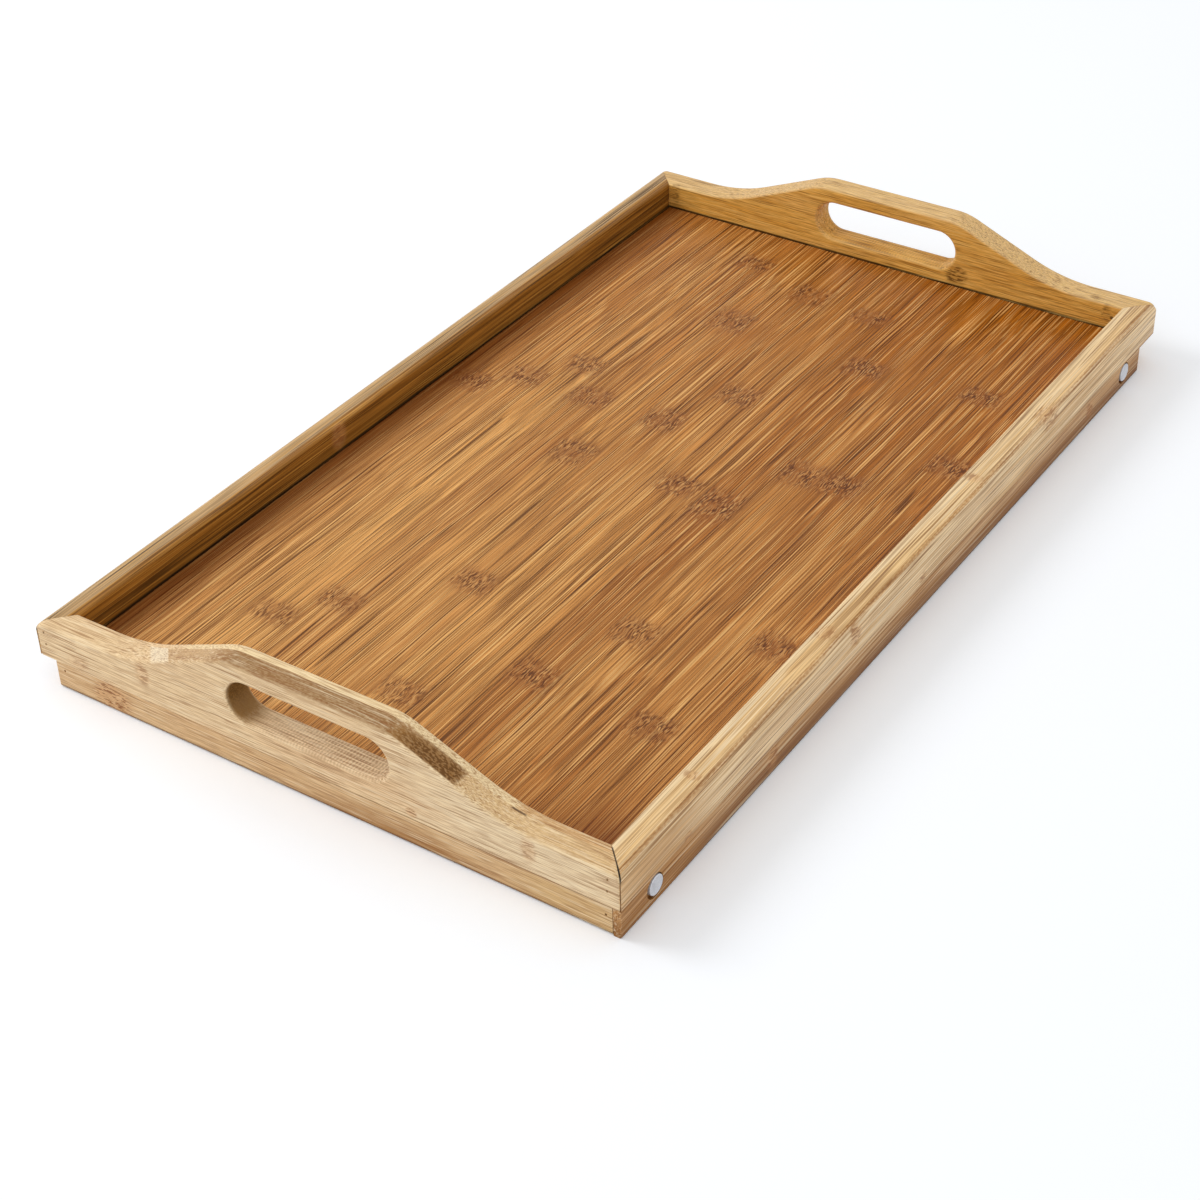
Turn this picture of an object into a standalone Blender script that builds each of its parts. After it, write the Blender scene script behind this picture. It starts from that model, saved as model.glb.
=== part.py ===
# Bamboo bed tray: a mitred frame with handle slots in its raised end boards, a floor
# panel that rests on a ledge inside the frame, and two leg frames that fold flat under
# the floor on four pivot bolts.
#
# Sizes are in metres. X runs along the tray, Y across it and Z up. The origin is in the
# middle of the tray's footprint, on the surface that it rests on with the legs folded.
# Front is -Y, back is +Y, left is -X and right is +X.

from math import atan2, ceil, cos, hypot, pi, radians, sin, tan

import bmesh
import bpy
from mathutils import Matrix, Vector

# Frame
TRAY_LENGTH = 0.500
TRAY_WIDTH = 0.298
RIM_HEIGHT = 0.0316
END_THICKNESS = 0.0140
RAIL_THICKNESS = 0.0134
RIM_ROUND = 0.0045
FOOT_ROUND = 0.0015
EDGE_ROUND = 0.0012
ARRIS = 0.0008

# Ledge that carries the floor, and the floor panel
LEDGE_HEIGHT = 0.0140
LEDGE_WIDTH = 0.0030
PANEL_THICKNESS = 0.0035

# Corner joints below the ledge: at a lap corner the rail's tongue covers the end of the
# end board, and at an open corner the end board stops short and leaves a step
TONGUE_THICKNESS = 0.0039
OPEN_SETBACK = 0.0090

# Raised crest and handle slot of an end board, and the wood left above the slot
CREST_HEIGHT = 0.0545
CREST_HALF_FLAT = 0.0350
CREST_SLOPE = radians(22.5)
CREST_RADIUS = 0.0320
HOLLOW_RADIUS = 0.0900
SLOT_LENGTH = 0.0820
SLOT_HEIGHT = 0.0205
GRIP_HEIGHT = 0.00825

# Leg frames. Folded, the two pairs of feet lie this far apart in the middle.
LEFT_PIVOT_INSET = 0.0240
RIGHT_PIVOT_INSET = 0.0357
PIVOT_HEIGHT = 0.0090
FOLDED_FEET_GAP = 0.0303
LEG_DEPTH = 0.0100
LEG_THICKNESS = 0.0120
OPEN_ANGLE = radians(100)
STOP_GAP = 0.00025
CROSSBAR_WIDTH = 0.0200
CROSSBAR_DEPTH = 0.0090
CROSSBAR_TO_FOOT = 0.0200
HOUSING_DEPTH = 0.0030

# Pivot bolts, washers and cap nuts
HEAD_RADIUS = 0.0053
HEAD_THICKNESS = 0.0022
HEAD_PROUD = 0.0003
HEAD_CHAMFER = 0.0004
SHANK_RADIUS = 0.0025
SHANK_CHAMFER = 0.0005
COUNTERBORE_RADIUS = 0.0061
COUNTERBORE_SHIFT = 0.0004
WASHER_RADIUS = 0.0048
WASHER_THICKNESS = 0.0010
NUT_ACROSS_FLATS = 0.0080
NUT_HEX_HEIGHT = 0.0038
NUT_DOME_RADIUS = 0.0036
NUT_DOME_HEIGHT = 0.0036
NUT_BORE_DEPTH = 0.0045

# Brads through the end boards into the rails, and the crossbar screws
BRAD_RADIUS = 0.00045
BRAD_LENGTH = 0.0190
BRAD_SET = 0.0008
SCREW_HEAD_RADIUS = 0.0036
SCREW_HEAD_DEPTH = 0.0020
SCREW_RADIUS = 0.0017
SCREW_LENGTH = 0.0270
SCREW_POINT = 0.0035

# Gap left between pieces that touch, and how far a cutter passes the faces it cuts
SEAM = 0.0003
OVERRUN = 0.0020
WELD = 0.000001

# Places of the brads at a corner: distance in from the tray's side as a share of the
# rail's thickness there, and height as a share of the rim or of the ledge
UPPER_BRAD_SHARES = {
    "lap": ((0.45, 0.877), (0.47, 0.687)),
    "open": ((0.34, 0.870), (0.35, 0.671)),
}
LOWER_BRAD_SHARES = {
    "lap": (0.43, 0.67),
    "open": (0.82, 0.73),
}

ROUND_SIDES = 32
SMALL_SIDES = 12
CORNER_STEPS = 4
HOLLOW_STEPS = 7
SLOT_STEPS = 6

# Colours in linear light
PALE_BAMBOO = (0.66, 0.44, 0.22)
RAIL_BAMBOO = (0.58, 0.36, 0.16)
CARAMEL_BAMBOO = (0.42, 0.17, 0.04)
WHITE_METAL = (0.72, 0.74, 0.78)
ZINC = (0.55, 0.56, 0.58)

# Planes and levels worked out from the sizes above
HALF_LENGTH = TRAY_LENGTH / 2
HALF_WIDTH = TRAY_WIDTH / 2
SLOT_MIDDLE_HEIGHT = CREST_HEIGHT - GRIP_HEIGHT - SLOT_HEIGHT / 2
END_INNER = HALF_LENGTH - END_THICKNESS
RAIL_INNER = HALF_WIDTH - RAIL_THICKNESS
END_LEDGE_INNER = END_INNER - LEDGE_WIDTH
RAIL_LEDGE_INNER = RAIL_INNER - LEDGE_WIDTH
TONGUE_INNER = HALF_WIDTH - TONGUE_THICKNESS
PANEL_UNDERSIDE = LEDGE_HEIGHT + SEAM
LEG_OUTER = RAIL_LEDGE_INNER - WASHER_THICKNESS - 2 * SEAM
LEG_INNER = LEG_OUTER - LEG_THICKNESS
NUT_SEAT = LEG_INNER - SEAM
BOLT_END = NUT_SEAT - NUT_BORE_DEPTH + SEAM
HOLE_RADIUS = SHANK_RADIUS + SEAM
LEFT_PIVOT_X = LEFT_PIVOT_INSET - HALF_LENGTH
RIGHT_PIVOT_X = HALF_LENGTH - RIGHT_PIVOT_INSET
LEG_LENGTH = (RIGHT_PIVOT_X - LEFT_PIVOT_X - FOLDED_FEET_GAP) / 2
CROSSBAR_FAR_EDGE = LEG_LENGTH - CROSSBAR_TO_FOOT
CROSSBAR_NEAR_EDGE = CROSSBAR_FAR_EDGE - CROSSBAR_WIDTH
CROSSBAR_MIDDLE = (CROSSBAR_NEAR_EDGE + CROSSBAR_FAR_EDGE) / 2

# How an outline drawn in two coordinates and its level stand in the tray
PLANES = {
    "XY": Matrix(((1, 0, 0), (0, 1, 0), (0, 0, 1))).to_4x4(),
    "XZ": Matrix(((1, 0, 0), (0, 0, 1), (0, 1, 0))).to_4x4(),
    "YZ": Matrix(((0, 0, 1), (1, 0, 0), (0, 1, 0))).to_4x4(),
}


def clear_scene():
    for item in list(bpy.data.objects):
        bpy.data.objects.remove(item)
    for item in list(bpy.data.collections):
        bpy.data.collections.remove(item)


def make_collection(name):
    collection = bpy.data.collections.new(name)
    bpy.context.scene.collection.children.link(collection)
    return collection


# Outlines

def same_place(a, b):
    return (Vector(a) - Vector(b)).length < WELD


def filleted(corners):
    """Outline through corners given as (point, radius, steps), each one rounded off."""
    outline = []
    count = len(corners)
    for index, (point, radius, steps) in enumerate(corners):
        corner = Vector(point)
        before = (Vector(corners[index - 1][0]) - corner).normalized()
        after = (Vector(corners[(index + 1) % count][0]) - corner).normalized()
        if radius == 0:
            outline.append(tuple(corner))
            continue
        half_angle = before.angle(after) / 2
        centre = corner + (before + after).normalized() * (radius / sin(half_angle))
        first = corner + before * (radius / tan(half_angle)) - centre
        last = corner + after * (radius / tan(half_angle)) - centre
        start = atan2(first.y, first.x)
        sweep = (atan2(last.y, last.x) - start + pi) % (2 * pi) - pi
        for step in range(steps + 1):
            angle = start + sweep * step / steps
            place = (centre.x + radius * cos(angle), centre.y + radius * sin(angle))
            if not outline or not same_place(outline[-1], place):
                outline.append(place)
    if same_place(outline[0], outline[-1]):
        outline.pop()
    return outline


# Solids

def new_object(name, mesh, collection):
    item = bpy.data.objects.new(name, mesh)
    collection.objects.link(item)
    return item


def finish_mesh(name, shape):
    """Turn a bmesh into a mesh with its faces pointing out and its round faces smooth."""
    bmesh.ops.recalc_face_normals(shape, faces=shape.faces)
    if shape.calc_volume(signed=True) < 0:
        bmesh.ops.reverse_faces(shape, faces=shape.faces)
    mesh = bpy.data.meshes.new(name)
    shape.to_mesh(mesh)
    shape.free()
    mesh.shade_smooth()
    mesh.set_sharp_from_angle(angle=radians(35))
    return mesh


def plate(name, outlines, low, high, plane, collection):
    """Solid between two levels, from closed outlines; the second outline is a hole."""
    curve = bpy.data.curves.new(name, 'CURVE')
    curve.dimensions = '2D'
    curve.fill_mode = 'BOTH'
    curve.extrude = (high - low) / 2
    for outline in outlines:
        spline = curve.splines.new('POLY')
        spline.points.add(len(outline) - 1)
        for point, place in zip(spline.points, outline):
            point.co = (place[0], place[1], 0, 1)
        spline.use_cyclic_u = True
    sketch = new_object(name, curve, collection)
    graph = bpy.context.evaluated_depsgraph_get()
    filled = bpy.data.meshes.new_from_object(sketch.evaluated_get(graph))
    bpy.data.objects.remove(sketch)
    bpy.data.curves.remove(curve)

    shape = bmesh.new()
    shape.from_mesh(filled)
    bpy.data.meshes.remove(filled)
    bmesh.ops.remove_doubles(shape, verts=shape.verts, dist=WELD)
    bmesh.ops.dissolve_limit(shape, angle_limit=radians(0.5), verts=shape.verts, edges=shape.edges)
    level = Matrix.Translation((0, 0, (low + high) / 2))
    shape.transform(PLANES[plane] @ level)
    return new_object(name, finish_mesh(name, shape), collection)


def block(name, low, high, collection):
    """Box between two corners."""
    shape = bmesh.new()
    bmesh.ops.create_cube(shape, size=1)
    for vertex in shape.verts:
        vertex.co = [b if place > 0 else a for place, a, b in zip(vertex.co, low, high)]
    return new_object(name, finish_mesh(name, shape), collection)


def bar(name, radius, start, end, sides, collection):
    """Round bar, or a prism of few sides, from one point to another."""
    start = Vector(start)
    axis = Vector(end) - start
    shape = bmesh.new()
    bmesh.ops.create_cone(
        shape, cap_ends=True, segments=sides, radius1=radius, radius2=radius, depth=axis.length
    )
    turn = axis.to_track_quat('Z', 'Y').to_matrix().to_4x4()
    shape.transform(Matrix.Translation(start + axis / 2) @ turn)
    return new_object(name, finish_mesh(name, shape), collection)


def turned(name, profile, closed, sides, collection):
    """Profile of (radius, height) points spun about Z, from the top down its outer side."""
    mesh = bpy.data.meshes.new(name)
    edges = [(index, index + 1) for index in range(len(profile) - 1)]
    if closed:
        edges.append((len(profile) - 1, 0))
    mesh.from_pydata([(radius, 0, height) for radius, height in profile], edges, [])
    item = new_object(name, mesh, collection)
    screw = item.modifiers.new("turn", 'SCREW')
    screw.steps = sides
    screw.render_steps = sides
    screw.use_merge_vertices = True
    screw.merge_threshold = WELD
    screw.use_smooth_shade = False
    return item


def flatten(item):
    """Replace an object's modifiers by the mesh that they make."""
    graph = bpy.context.evaluated_depsgraph_get()
    mesh = bpy.data.meshes.new_from_object(item.evaluated_get(graph))
    item.modifiers.clear()
    item.data = mesh
    mesh.shade_smooth()
    mesh.set_sharp_from_angle(angle=radians(35))


def round_edges(item, width):
    bevel = item.modifiers.new("edges", 'BEVEL')
    bevel.width = width
    bevel.segments = 2
    bevel.limit_method = 'ANGLE'
    bevel.angle_limit = radians(40)


def combine(item, other, operation):
    boolean = item.modifiers.new(other.name, 'BOOLEAN')
    boolean.operation = operation
    boolean.solver = 'EXACT'
    boolean.object = other
    other.hide_render = True
    other.display_type = 'WIRE'


def cut(item, *cutters):
    for cutter in cutters:
        combine(item, cutter, 'DIFFERENCE')


def finish(item, colour, roughness, metallic=0.0):
    material = bpy.data.materials.new(item.name + "_finish")
    material.use_nodes = True
    shader = material.node_tree.nodes["Principled BSDF"]
    shader.inputs["Base Color"].default_value = (*colour, 1)
    shader.inputs["Roughness"].default_value = roughness
    shader.inputs["Metallic"].default_value = metallic
    material.diffuse_color = (*colour, 1)
    item.data.materials.clear()
    item.data.materials.append(material)


# Corner footprints above the ledge, in plan. Every mitre runs from the frame's inner
# corner to its outer corner, and a footprint passes both corners a little.

def mitre_along(across):
    """Where a mitre lies along the tray, at a distance out from the tray's middle."""
    return END_INNER + (across - RAIL_INNER) * END_THICKNESS / RAIL_THICKNESS


def mitre_across(along):
    """Where a mitre lies across the tray, at a distance along from the tray's middle."""
    return RAIL_INNER + (along - END_INNER) * RAIL_THICKNESS / END_THICKNESS


def rail_footprint(gap):
    """Front rail seen from above, its mitred ends moved out by the gap."""
    shift = gap * hypot(END_THICKNESS, RAIL_THICKNESS) / RAIL_THICKNESS
    outer_side = HALF_WIDTH + OVERRUN
    inner_side = RAIL_INNER - SEAM
    outer = mitre_along(outer_side) + shift
    inner = mitre_along(inner_side) + shift
    return [(-outer, -outer_side), (outer, -outer_side), (inner, -inner_side), (-inner, -inner_side)]


def end_footprint():
    """Left end board seen from above."""
    outer_end = HALF_LENGTH + 2 * OVERRUN
    inner_end = END_INNER - SEAM
    outer = mitre_across(outer_end)
    inner = mitre_across(inner_end)
    return [(-outer_end, -outer), (-inner_end, -inner), (-inner_end, inner), (-outer_end, outer)]


# Brads. A corner is described on the left end board, with side -1 at its lap corner and
# +1 at its open corner.

def brad_places(kind):
    low_thickness = RAIL_THICKNESS + LEDGE_WIDTH
    places = []
    for inset_share, height_share in UPPER_BRAD_SHARES[kind]:
        places.append((HALF_WIDTH - inset_share * RAIL_THICKNESS, height_share * RIM_HEIGHT))
    inset_share, height_share = LOWER_BRAD_SHARES[kind]
    places.append((HALF_WIDTH - inset_share * low_thickness, height_share * LEDGE_HEIGHT))
    return places


def make_brads(parts, cutters):
    """The twelve brads, and their holes listed by end board and by rail."""
    holes = {"left": [], "right": [], "front": [], "back": []}
    corners = (
        ("left", "front", "lap", -1, 0),
        ("left", "back", "open", 1, 0),
        ("right", "back", "lap", -1, pi),
        ("right", "front", "open", 1, pi),
    )
    head = -HALF_LENGTH + BRAD_SET
    tip = head + BRAD_LENGTH
    for end, rail, kind, side, turn in corners:
        for level, (across, height) in zip(("top", "middle", "low"), brad_places(kind)):
            name = "_".join(("brad", end, rail, level))
            start = (head, side * across, height)
            brad = bar(name, BRAD_RADIUS, start, (tip, *start[1:]), SMALL_SIDES, parts)
            brad.rotation_euler.z = turn
            finish(brad, ZINC, 0.35, 1.0)
            hole = bar(
                name + "_hole", BRAD_RADIUS + SEAM,
                (-HALF_LENGTH - OVERRUN, side * across, height),
                (tip + SEAM, side * across, height), SMALL_SIDES, cutters
            )
            hole.rotation_euler.z = turn
            holes[end].append(hole)
            holes[rail].append(hole)
    return holes


# Frame pieces. Each is drawn for the left or front side; turn is half a turn for the
# right end board and the back rail, which are the same pieces the other way round.

def end_board_outline():
    """Outline across the tray, in Y and Z, with the crest between two long hollows."""
    crest_corner = CREST_HALF_FLAT + CREST_RADIUS * tan(CREST_SLOPE / 2)
    hollow_corner = crest_corner + (CREST_HEIGHT - RIM_HEIGHT) / tan(CREST_SLOPE)
    return filleted([
        ((-HALF_WIDTH, 0), 0, 0),
        ((HALF_WIDTH, 0), 0, 0),
        ((HALF_WIDTH, RIM_HEIGHT), RIM_ROUND, CORNER_STEPS + 1),
        ((hollow_corner, RIM_HEIGHT), HOLLOW_RADIUS, HOLLOW_STEPS),
        ((crest_corner, CREST_HEIGHT), CREST_RADIUS, CORNER_STEPS),
        ((-crest_corner, CREST_HEIGHT), CREST_RADIUS, CORNER_STEPS),
        ((-hollow_corner, RIM_HEIGHT), HOLLOW_RADIUS, HOLLOW_STEPS),
        ((-HALF_WIDTH, RIM_HEIGHT), RIM_ROUND, CORNER_STEPS + 1),
    ])


def slot_outline():
    half_length = SLOT_LENGTH / 2
    radius = SLOT_HEIGHT / 2
    low = SLOT_MIDDLE_HEIGHT - radius
    high = SLOT_MIDDLE_HEIGHT + radius
    corners = ((-half_length, low), (half_length, low), (half_length, high), (-half_length, high))
    return filleted([(corner, radius, SLOT_STEPS) for corner in corners])


def mark_board_edges(board, lap_end, open_end):
    """Mark the edges to round: all round the outer face but for the lap, round the inner
    face above the ledge, and the foot of the open corner."""
    shape = bmesh.new()
    shape.from_mesh(board.data)
    weight = shape.edges.layers.float.new("bevel_weight_edge")
    for edge in shape.edges:
        ends = [vertex.co for vertex in edge.verts]
        on_outer = all(abs(place.x + HALF_LENGTH) < WELD for place in ends)
        on_inner = all(abs(place.x + END_INNER) < WELD for place in ends)
        at_lap = all(abs(place.y - lap_end) < WELD for place in ends)
        at_open = all(abs(place.y - open_end) < WELD and place.z < WELD for place in ends)
        above_ledge = all(place.z > LEDGE_HEIGHT + WELD for place in ends)
        chosen = (on_outer and not at_lap) or (on_inner and above_ledge) or at_open
        if chosen and edge.calc_face_angle() > radians(40):
            edge[weight] = 1
    shape.to_mesh(board.data)
    shape.free()


def make_end_board(name, turn, holes, parts, cutters):
    lap_end = -TONGUE_INNER + SEAM
    open_end = HALF_WIDTH - OPEN_SETBACK
    past_side = HALF_WIDTH + OVERRUN
    past_end = HALF_LENGTH + OVERRUN
    past_ledge = -END_LEDGE_INNER + OVERRUN
    top = CREST_HEIGHT + OVERRUN
    board = plate(
        name, [end_board_outline(), slot_outline()], -HALF_LENGTH, -END_LEDGE_INNER, "YZ", parts
    )
    rebate = block(
        name + "_rebate", (-END_INNER, -past_side, LEDGE_HEIGHT), (past_ledge, past_side, top), cutters
    )
    lap = block(
        name + "_lap", (-past_end, -past_side, -OVERRUN), (past_ledge, lap_end, LEDGE_HEIGHT), cutters
    )
    step = block(
        name + "_step", (-past_end, open_end, -OVERRUN), (past_ledge, past_side, LEDGE_HEIGHT), cutters
    )
    cut(board, rebate, lap, step)
    flatten(board)
    mark_board_edges(board, lap_end, open_end)
    round_edges(board, EDGE_ROUND)
    board.modifiers["edges"].limit_method = 'WEIGHT'
    front_mitre = plate(
        name + "_front_mitre", [rail_footprint(SEAM)], LEDGE_HEIGHT - SEAM, top, "XY", cutters
    )
    back_mitre = front_mitre.copy()
    back_mitre.name = name + "_back_mitre"
    cutters.objects.link(back_mitre)
    board.rotation_euler.z = turn
    front_mitre.rotation_euler.z = turn
    back_mitre.rotation_euler.z = turn + pi
    cut(board, front_mitre, back_mitre, *holes)
    finish(board, PALE_BAMBOO, 0.5)
    return board


def make_rail(name, turn, holes, parts, cutters):
    outline = filleted([
        ((-HALF_WIDTH, 0), FOOT_ROUND, CORNER_STEPS),
        ((-RAIL_LEDGE_INNER, 0), ARRIS, 2),
        ((-RAIL_LEDGE_INNER, LEDGE_HEIGHT), 0, 0),
        ((-RAIL_INNER, LEDGE_HEIGHT), 0, 0),
        ((-RAIL_INNER, RIM_HEIGHT), ARRIS, 2),
        ((-HALF_WIDTH, RIM_HEIGHT), RIM_ROUND, CORNER_STEPS + 1),
    ])
    blank_end = HALF_LENGTH + OVERRUN
    past_end = blank_end + OVERRUN
    past_side = HALF_WIDTH + OVERRUN
    past_ledge = -RAIL_LEDGE_INNER + OVERRUN
    rail = plate(name, [outline], -blank_end, blank_end, "YZ", parts)
    left_mitre = plate(
        name + "_left_mitre", [end_footprint()],
        LEDGE_HEIGHT - SEAM, RIM_HEIGHT + OVERRUN, "XY", cutters
    )
    right_mitre = left_mitre.copy()
    right_mitre.name = name + "_right_mitre"
    cutters.objects.link(right_mitre)
    lap = block(
        name + "_lap", (-past_end, -TONGUE_INNER, -OVERRUN),
        (-END_LEDGE_INNER + SEAM, past_ledge, LEDGE_HEIGHT), cutters
    )
    step = block(
        name + "_step", (END_LEDGE_INNER - SEAM, -past_side, -OVERRUN),
        (past_end, past_ledge, LEDGE_HEIGHT), cutters
    )
    tongue_end = block(
        name + "_tongue_end", (-past_end, -past_side, -OVERRUN),
        (-HALF_LENGTH, past_ledge, LEDGE_HEIGHT), cutters
    )
    for item in (rail, left_mitre, lap, step, tongue_end):
        item.rotation_euler.z = turn
    right_mitre.rotation_euler.z = turn + pi
    cut(rail, lap, step, left_mitre, right_mitre, tongue_end, *holes)
    finish(rail, RAIL_BAMBOO, 0.5)
    return rail


def make_floor(parts):
    floor = block(
        "floor_panel",
        (-END_INNER + SEAM, -RAIL_INNER + SEAM, PANEL_UNDERSIDE),
        (END_INNER - SEAM, RAIL_INNER - SEAM, PANEL_UNDERSIDE + PANEL_THICKNESS), parts
    )
    finish(floor, CARAMEL_BAMBOO, 0.35)
    return floor


# Leg frames. Each is drawn with its pivot axis at X = 0 and Z = 0 and its feet towards
# +X, under an empty that stands on the pivot axis.

def leg_outline():
    """Leg from the side, in X and Z. The heel is round above the pivot, so that it passes
    under the floor, and square below it, so that it stops on the floor's underside."""
    half = LEG_DEPTH / 2
    lift = PANEL_UNDERSIDE - PIVOT_HEIGHT - STOP_GAP
    heel = min((lift + half * cos(OPEN_ANGLE)) / sin(OPEN_ANGLE), half)
    splay = half * -cos(OPEN_ANGLE) / sin(OPEN_ANGLE)
    arc_end = pi - atan2((half * half - heel * heel) ** 0.5, heel)
    steps = ceil((arc_end - pi / 2) / radians(12))
    heel_arc = [pi / 2 + (arc_end - pi / 2) * step / steps for step in range(steps + 1)]
    outline = [(half * cos(angle), half * sin(angle)) for angle in heel_arc]
    foot = [(-heel, -half), (LEG_LENGTH + splay, -half), (LEG_LENGTH - splay, half)]
    return outline + foot


def screw_profile(gap, top):
    """Countersunk screw from its head down, or its hole when a gap is added all round."""
    return [
        (0, top),
        (SCREW_HEAD_RADIUS + gap, top),
        (SCREW_HEAD_RADIUS + gap, -gap),
        (SCREW_RADIUS + gap, -SCREW_HEAD_DEPTH - gap),
        (SCREW_RADIUS + gap, -SCREW_LENGTH + SCREW_POINT - gap),
        (0, -SCREW_LENGTH - gap),
    ]


def make_leg_frame(end, pivot_x, turn, parts, cutters):
    pivot = bpy.data.objects.new(end + "_leg_pivot", None)
    parts.objects.link(pivot)
    pivot.location = (pivot_x, 0, PIVOT_HEIGHT)
    pivot.rotation_euler.z = turn

    crossbar = block(
        end + "_crossbar",
        (CROSSBAR_NEAR_EDGE, -LEG_INNER - HOUSING_DEPTH + SEAM, -CROSSBAR_DEPTH / 2),
        (CROSSBAR_FAR_EDGE, LEG_INNER + HOUSING_DEPTH - SEAM, CROSSBAR_DEPTH / 2), parts
    )
    round_edges(crossbar, ARRIS)
    housing = block(
        end + "_housing",
        (CROSSBAR_NEAR_EDGE - SEAM, -LEG_INNER - HOUSING_DEPTH, -CROSSBAR_DEPTH / 2 - SEAM),
        (CROSSBAR_FAR_EDGE + SEAM, LEG_INNER + HOUSING_DEPTH, CROSSBAR_DEPTH / 2 + SEAM), cutters
    )
    crossbar.parent = pivot
    housing.parent = pivot

    for side in (-1, 1):
        across = "front" if side * cos(turn) < 0 else "back"
        low, high = sorted((side * LEG_INNER, side * LEG_OUTER))
        leg = plate("_".join((end, across, "leg")), [leg_outline()], low, high, "XZ", parts)
        round_edges(leg, ARRIS)
        hole = bar(
            leg.name + "_pivot_hole", HOLE_RADIUS,
            (0, low - OVERRUN, 0), (0, high + OVERRUN, 0), ROUND_SIDES, cutters
        )
        screw_name = "_".join((end, across, "crossbar_screw"))
        screw = turned(screw_name, screw_profile(0, 0), False, SMALL_SIDES, parts)
        screw_hole = turned(
            screw_name + "_hole", screw_profile(SEAM, OVERRUN), False, SMALL_SIDES, cutters
        )
        for item in (screw, screw_hole):
            item.location = (CROSSBAR_MIDDLE, side * (LEG_OUTER - SEAM), 0)
            item.rotation_euler.x = -side * pi / 2
            flatten(item)
        cut(leg, hole, housing, screw_hole)
        cut(crossbar, screw_hole)
        for item in (leg, hole, screw, screw_hole):
            item.parent = pivot
        finish(leg, PALE_BAMBOO, 0.5)
        finish(screw, ZINC, 0.35, 1.0)
    finish(crossbar, PALE_BAMBOO, 0.5)


# Pivot hardware. Each piece is turned about Z with its outer face up.

def make_bolt(name, parts):
    underside = HEAD_PROUD - HEAD_THICKNESS
    end = BOLT_END - HALF_WIDTH
    bolt = turned(name, [
        (0, HEAD_PROUD),
        (HEAD_RADIUS - HEAD_CHAMFER, HEAD_PROUD),
        (HEAD_RADIUS, HEAD_PROUD - HEAD_CHAMFER),
        (HEAD_RADIUS, underside),
        (SHANK_RADIUS, underside),
        (SHANK_RADIUS, end + SHANK_CHAMFER),
        (SHANK_RADIUS - SHANK_CHAMFER, end),
        (0, end),
    ], False, ROUND_SIDES, parts)
    flatten(bolt)
    finish(bolt, WHITE_METAL, 0.35, 0.6)
    return bolt


def make_washer(name, parts):
    washer = turned(name, [
        (WASHER_RADIUS, 0),
        (WASHER_RADIUS, -WASHER_THICKNESS),
        (HOLE_RADIUS, -WASHER_THICKNESS),
        (HOLE_RADIUS, 0),
    ], True, ROUND_SIDES, parts)
    flatten(washer)
    finish(washer, ZINC, 0.35, 1.0)
    return washer


def make_nut(name, parts, cutters):
    """Cap nut: a hexagon with a dome on it and a blind bore from its seat."""
    corner_radius = NUT_ACROSS_FLATS / 2 / cos(pi / 6)
    nut = bar(name, corner_radius, (0, 0, 0), (0, 0, -NUT_HEX_HEIGHT), 6, parts)
    dome_profile = [(0, -NUT_HEX_HEIGHT / 2), (NUT_DOME_RADIUS, -NUT_HEX_HEIGHT / 2)]
    for step in range(CORNER_STEPS + 1):
        angle = pi / 2 * step / CORNER_STEPS
        height = -NUT_HEX_HEIGHT - NUT_DOME_HEIGHT * sin(angle)
        radius = NUT_DOME_RADIUS * cos(angle) if step < CORNER_STEPS else 0
        dome_profile.append((radius, height))
    dome = turned(name + "_dome", dome_profile, False, ROUND_SIDES, cutters)
    bore = bar(
        name + "_bore", HOLE_RADIUS, (0, 0, OVERRUN), (0, 0, -NUT_BORE_DEPTH), ROUND_SIDES, cutters
    )
    combine(nut, dome, 'UNION')
    cut(nut, bore)
    flatten(nut)
    finish(nut, ZINC, 0.35, 1.0)
    return nut


def place_on_pivots(item, kind, distance, parts):
    """Put a copy of a turned piece at each pivot, its outer face this far from the middle."""
    pivots = (("left", LEFT_PIVOT_X), ("right", RIGHT_PIVOT_X))
    for end, pivot_x in pivots:
        for across, side in (("front", -1), ("back", 1)):
            copy = item.copy()
            copy.name = "_".join((end, across, kind))
            parts.objects.link(copy)
            copy.location = (pivot_x, side * distance, PIVOT_HEIGHT)
            copy.rotation_euler.x = -side * pi / 2
    bpy.data.objects.remove(item)


def make_pivot_holes(cutters):
    """Bolt holes and counterbores, listed by rail."""
    holes = {"front": [], "back": []}
    depth = HEAD_THICKNESS - HEAD_PROUD + SEAM
    for end, pivot_x in (("left", LEFT_PIVOT_X), ("right", RIGHT_PIVOT_X)):
        for rail, side in (("front", -1), ("back", 1)):
            name = "_".join((end, rail, "bolt"))
            outside = side * (HALF_WIDTH + OVERRUN)
            inside = side * (RAIL_LEDGE_INNER - OVERRUN)
            hole = bar(
                name + "_hole", HOLE_RADIUS, (pivot_x, outside, PIVOT_HEIGHT),
                (pivot_x, inside, PIVOT_HEIGHT), ROUND_SIDES, cutters
            )
            bore_x = pivot_x - COUNTERBORE_SHIFT
            counterbore = bar(
                name + "_counterbore", COUNTERBORE_RADIUS, (bore_x, outside, PIVOT_HEIGHT),
                (bore_x, side * (HALF_WIDTH - depth), PIVOT_HEIGHT), ROUND_SIDES, cutters
            )
            holes[rail].extend((hole, counterbore))
    return holes


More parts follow.
